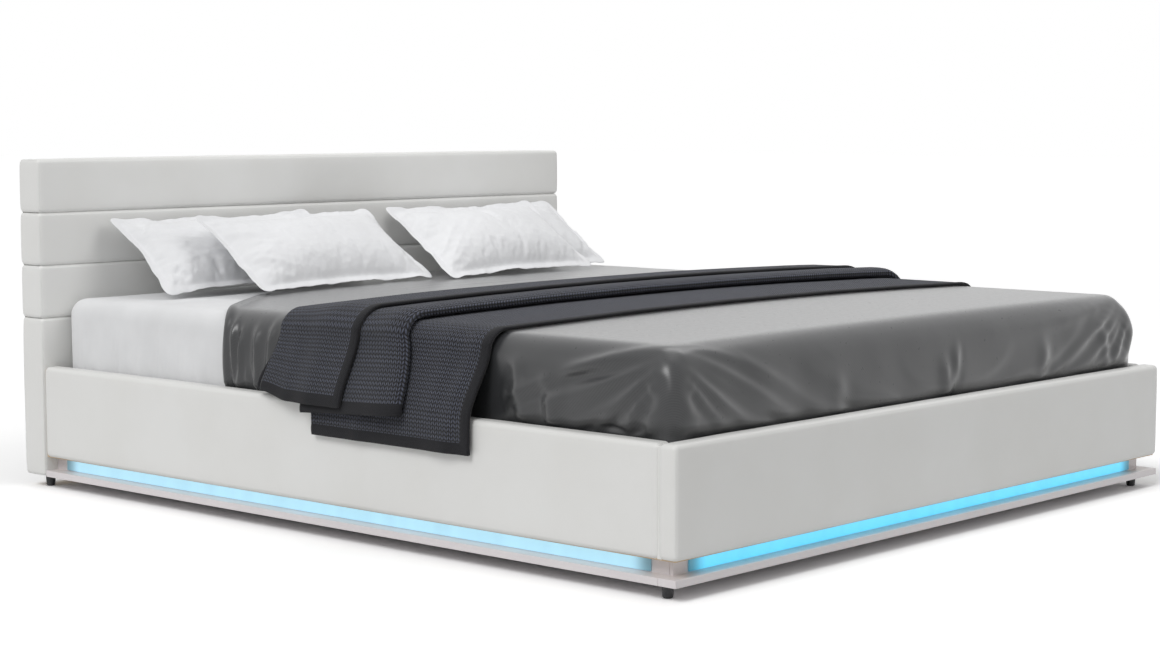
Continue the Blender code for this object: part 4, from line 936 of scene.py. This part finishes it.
PILLOW_CELLS = (72, 38)
PILLOW_WHOLE = (0.660, 0.104, 0.300)
FLANGE_WIDTH = 0.020
FLANGE_RINGS = 4
SEAM_PULL = 0.012
PILLOW_LIFT_MOST = 0.010
SEAM_GAP = 0.0012


def envelope_faces(number):
    """The quads of a pillow's back and front grids, each facing outwards."""
    columns, rows = PILLOW_CELLS
    faces = []
    for side in (0, 1):
        for i in range(columns):
            for j in range(rows):
                quad = [int(number[side, i, j]), int(number[side, i + 1, j]),
                        int(number[side, i + 1, j + 1]), int(number[side, i, j + 1])]
                faces.append(quad[::-1] if side else quad)
    return faces


def stuffed_envelope(name, seed, spare, pressure, whole):
    """A pillow between its seams: a smooth form, then cloth with spare fabric under pressure.

    spare: the share by which the fabric is larger than the form. whole: how crumpled it all is.
    """
    columns, rows = PILLOW_CELLS
    draw = np.random.default_rng(seed)
    half_x = PILLOW_WHOLE[0] / 2 - FLANGE_WIDTH
    half_z = PILLOW_WHOLE[2] / 2 - FLANGE_WIDTH
    points, numbers = [], np.zeros((2, columns + 1, rows + 1), int)
    for side in (0, 1):
        for i in range(columns + 1):
            for j in range(rows + 1):
                if side and (i in (0, columns) or j in (0, rows)):
                    numbers[1, i, j] = numbers[0, i, j]
                    continue
                across, up = 2 * i / columns - 1, 2 * j / rows - 1
                fill = ((1 - abs(across) ** 2.6) * (1 - abs(up) ** 2.4)) ** 0.55
                depth = 0.90 * PILLOW_WHOLE[1] / 2 * fill * (1 if side else -1)
                numbers[side, i, j] = len(points)
                points.append(((half_x - SEAM_PULL * (1 - up ** 2)) * across,
                               depth + draw.normal() * 0.0006,
                               (half_z - SEAM_PULL * (1 - across ** 2)) * up))
    rest = np.array(points)
    ends = rest.copy()
    made = new_mesh(name, points, envelope_faces(numbers), PILLOWCASE)
    rim = made.vertex_groups.new(name="rim")
    rim.add([int(numbers[0, i, j]) for i, j in rim_places()], 1.0, "REPLACE")
    moved = run_cloth(made, 22, quality=5, mass=0.25, tension_stiffness=25,
                      compression_stiffness=25, shear_stiffness=8, bending_stiffness=0.35,
                      use_pressure=True, uniform_pressure_force=pressure,
                      vertex_group_mass="rim", shrink_min=-spare, shrink_max=-spare) - rest
    ends = rest + capped(moved, PILLOW_LIFT_MOST)
    bpy.data.objects.remove(made)
    for side in (0, 1):
        for i in range(1, columns):
            for j in range(1, rows):
                ends[numbers[side, i, j], 1] += (1 if side else -1) * puckers(
                    2 * i / columns - 1, 2 * j / rows - 1, seed + 20 * side, whole)
    return ends[numbers[0]], ends[numbers[1]]


def puckers(across, up, seed, whole):
    """Wrinkles that run in from a pillow's short ends, or all over a crumpled one."""
    x, z = across * PILLOW_WHOLE[0] / 2, up * PILLOW_WHOLE[2] / 2
    from_end = PILLOW_WHOLE[0] / 2 - abs(x)
    bend = noise.noise((x * 3, z * 4, seed + 3)) * 1.2
    slant = 0.45 * (1 if seed % 2 else -1)
    lines = noise.noise((x * 5.5 + bend, (z + slant * x) * 17 + bend, seed))
    fine = noise.noise((x * 11 + bend, z * 34 - bend, seed + 9))
    sharp = max(0.0, 1 - 3.4 * abs(lines)) ** 1.4 + 0.45 * max(0.0, 1 - 3.6 * abs(fine)) ** 1.4
    reach = max(whole, exp(-(from_end / 0.115) ** 2) * (1 if x < 0 else 0.4))
    rim = min(1.0, (1 - abs(up)) / 0.12) * min(1.0, (1 - abs(across)) / 0.03)
    return 0.0062 * (sharp - 0.35) * reach * rim


def rim_places():
    """The grid places round the rim, in order."""
    columns, rows = PILLOW_CELLS
    return ([(i, 0) for i in range(columns)] + [(columns, j) for j in range(rows)]
            + [(i, rows) for i in range(columns, 0, -1)] + [(0, j) for j in range(rows, 0, -1)])


def make_pillow(node, seed, lean, turn, spare, pressure, crumple, whole=0.06):
    """A pillow with its flange, in the place of its solid. crumple: how much the flange waves."""
    columns, rows = PILLOW_CELLS
    back, front = stuffed_envelope(node + "_cloth", seed, spare, pressure, whole)
    rim = rim_places()
    seam = np.array([back[i, j] for i, j in rim])
    inner = np.array(PILLOW_WHOLE) - (2 * FLANGE_WIDTH, 0, 2 * FLANGE_WIDTH)
    gap = SEAM_GAP
    count = len(rim)
    points, number = [], {}
    for side, grid in ((0, back), (1, front)):
        for i in range(columns + 1):
            for j in range(rows + 1):
                number[side, i, j] = len(points)
                edge = i in (0, columns) or j in (0, rows)
                points.append(grid[i, j] + ((0, gap * (1 if side else -1), 0) if edge else 0))
    faces = envelope_faces(number)
    # The flange continues the seam outwards, with ruffles that grow towards its hem.
    tangent = np.roll(seam, -2, axis=0) - np.roll(seam, 2, axis=0)
    out = np.stack([tangent[:, 2], np.zeros(count), -tangent[:, 0]], axis=1)
    out /= np.linalg.norm(out, axis=1)[:, None]
    corner = np.abs(seam[:, [0, 2]]) / (inner[[0, 2]] / 2)
    stretch = 1 + 0.35 * np.clip(corner.min(axis=1) - 0.93, 0, 0.07) / 0.07
    ruffle = np.array([noise.noise(Vector(place) * 9 + Vector((seed, 0, 0)))
                       + 0.5 * noise.noise(Vector(place) * 24 + Vector((0, seed, 0)))
                       for place in seam])
    hems = []
    for side in (0, 1):
        before = [number[side, i, j] for i, j in rim]
        for ring in range(1, FLANGE_RINGS + 1):
            share = ring / FLANGE_RINGS
            reach = FLANGE_WIDTH * share * stretch
            wave = crumple * 0.012 * share ** 1.4 * ruffle
            here = seam + out * reach[:, None]
            here[:, 1] += wave + (gap if side else -gap)
            start = len(points)
            points.extend(here)
            now = list(range(start, start + count))
            for index in range(count):
                after = (index + 1) % count
                quad = [before[index], before[after], now[after], now[index]]
                faces.append(quad[::-1] if side == 0 else quad)
            before = now
        hems.append(before)
    for index in range(count):
        after = (index + 1) % count
        faces.append([hems[0][index], hems[1][index], hems[1][after], hems[0][after]])
    made = new_mesh(node + "_stuffed", points, faces, PILLOWCASE)
    bm = bmesh.new()
    bm.from_mesh(made.data)
    bmesh.ops.recalc_face_normals(bm, faces=bm.faces)
    bm.to_mesh(made.data)
    bm.free()
    made.data.shade_smooth()
    subdivide(made)
    low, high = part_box(node)
    made.rotation_euler = (-lean, 0, turn)
    made.location = (low + high) / 2
    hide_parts(node)
    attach(made, "platform")


def build_pillows():
    make_pillow("pillow_back_left", 7, radians(54), 0, 0.07, 1.0, 1.0, 0.8)
    make_pillow("pillow_back_right", 8, radians(54), 0, 0.02, 0.4, 0.8, 0.1)
    make_pillow("pillow_front_left", 9, radians(53), radians(6), 0.012, 2.2, 0.8)
    make_pillow("pillow_front_right", 12, radians(53), radians(7), 0.018, 2.2, 0.8)


# Studio and camera

def add_lamp(name, kind, power, turn, place=(0, 0, 0), **settings):
    """A lamp with a turn and a place. A sun's place doesn't matter."""
    lamp = bpy.data.lights.new(name, kind)
    lamp.energy = power
    for setting, value in settings.items():
        setattr(lamp, setting, value)
    holder = bpy.data.objects.new(name, lamp)
    bpy.context.scene.collection.objects.link(holder)
    holder.location = place
    holder.rotation_mode = "QUATERNION"
    holder.rotation_quaternion = turn


def build_studio():
    scene = bpy.context.scene
    scene.view_settings.view_transform = "Standard"
    scene.world = bpy.data.worlds.new("studio")
    scene.world.use_nodes = True
    nodes, links = scene.world.node_tree.nodes, scene.world.node_tree.links
    rays = nodes.new("ShaderNodeLightPath")
    white = rays.outputs["Is Camera Ray"]
    for ray in ("Is Glossy Ray", "Is Transmission Ray"):
        either = nodes.new("ShaderNodeMath")
        either.operation = "MAXIMUM"
        links.new(white, either.inputs[0])
        links.new(rays.outputs[ray], either.inputs[1])
        white = either.outputs[0]
    level = nodes.new("ShaderNodeMapRange")
    level.inputs["To Min"].default_value = SKY_LEVEL
    level.inputs["To Max"].default_value = 1.0
    links.new(white, level.inputs["Value"])
    links.new(level.outputs["Result"], nodes["Background"].inputs["Strength"])
    nodes["Background"].inputs["Color"].default_value = (1, 1, 1, 1)

    sun = Vector((sin(SUN_AZIMUTH) * cos(SUN_ELEVATION), cos(SUN_AZIMUTH) * cos(SUN_ELEVATION),
                  sin(SUN_ELEVATION)))
    add_lamp("key", "SUN", SUN_LEVEL * pi, sun.to_track_quat("Z", "Y"), angle=SUN_WIDTH)
    aim = Vector(OVERHEAD_AIM) - Vector(OVERHEAD_PLACE)
    add_lamp("overhead", "AREA", OVERHEAD_POWER, aim.to_track_quat("-Z", "Y"), OVERHEAD_PLACE,
             shape="DISK", size=OVERHEAD_SIZE)

    made = Finish("studio_floor", (FLOOR_GREY,) * 3, 0.9, Specular_IOR_Level=0.0)
    rays = made.node("LightPath").outputs
    made.tone((FLOOR_AS_SEEN,) * 3,
              made.math("MAXIMUM", rays["Is Camera Ray"], rays["Is Glossy Ray"]))
    corners = [(x * FLOOR_REACH, y * FLOOR_REACH, 0) for x, y in
               ((-1, -1), (1, -1), (1, 1), (-1, 1))]
    new_mesh("studio_floor", corners, [(0, 1, 2, 3)], made.material, smooth=False)


def build_camera():
    data = bpy.data.cameras.new("camera")
    data.sensor_width = SENSOR_WIDTH
    data.lens = CAMERA_LENS
    camera = bpy.data.objects.new("camera", data)
    bpy.context.scene.collection.objects.link(camera)
    back = Vector((sin(CAMERA_AZIMUTH) * cos(CAMERA_ELEVATION),
                   -cos(CAMERA_AZIMUTH) * cos(CAMERA_ELEVATION), sin(CAMERA_ELEVATION)))
    camera.location = CAMERA_PLACE
    camera.rotation_mode = "QUATERNION"
    level = (-back).to_track_quat("-Z", "Y")
    camera.rotation_quaternion = level @ Quaternion((0, 0, 1), CAMERA_ROLL)
    bpy.context.scene.camera = camera


build_camera()
build_studio()
for part in frame["record"]["subparts"]:
    if part["material_slot"] in FINISHES or part["node"] in LIGHT_BARS:
        dress_node(part["node"], part["material_slot"])
build_rail_covers()
build_foot_cover()
build_seam_returns()
build_headboard_cover()
build_mattress()
build_duvet()
build_throw()
build_pillows()
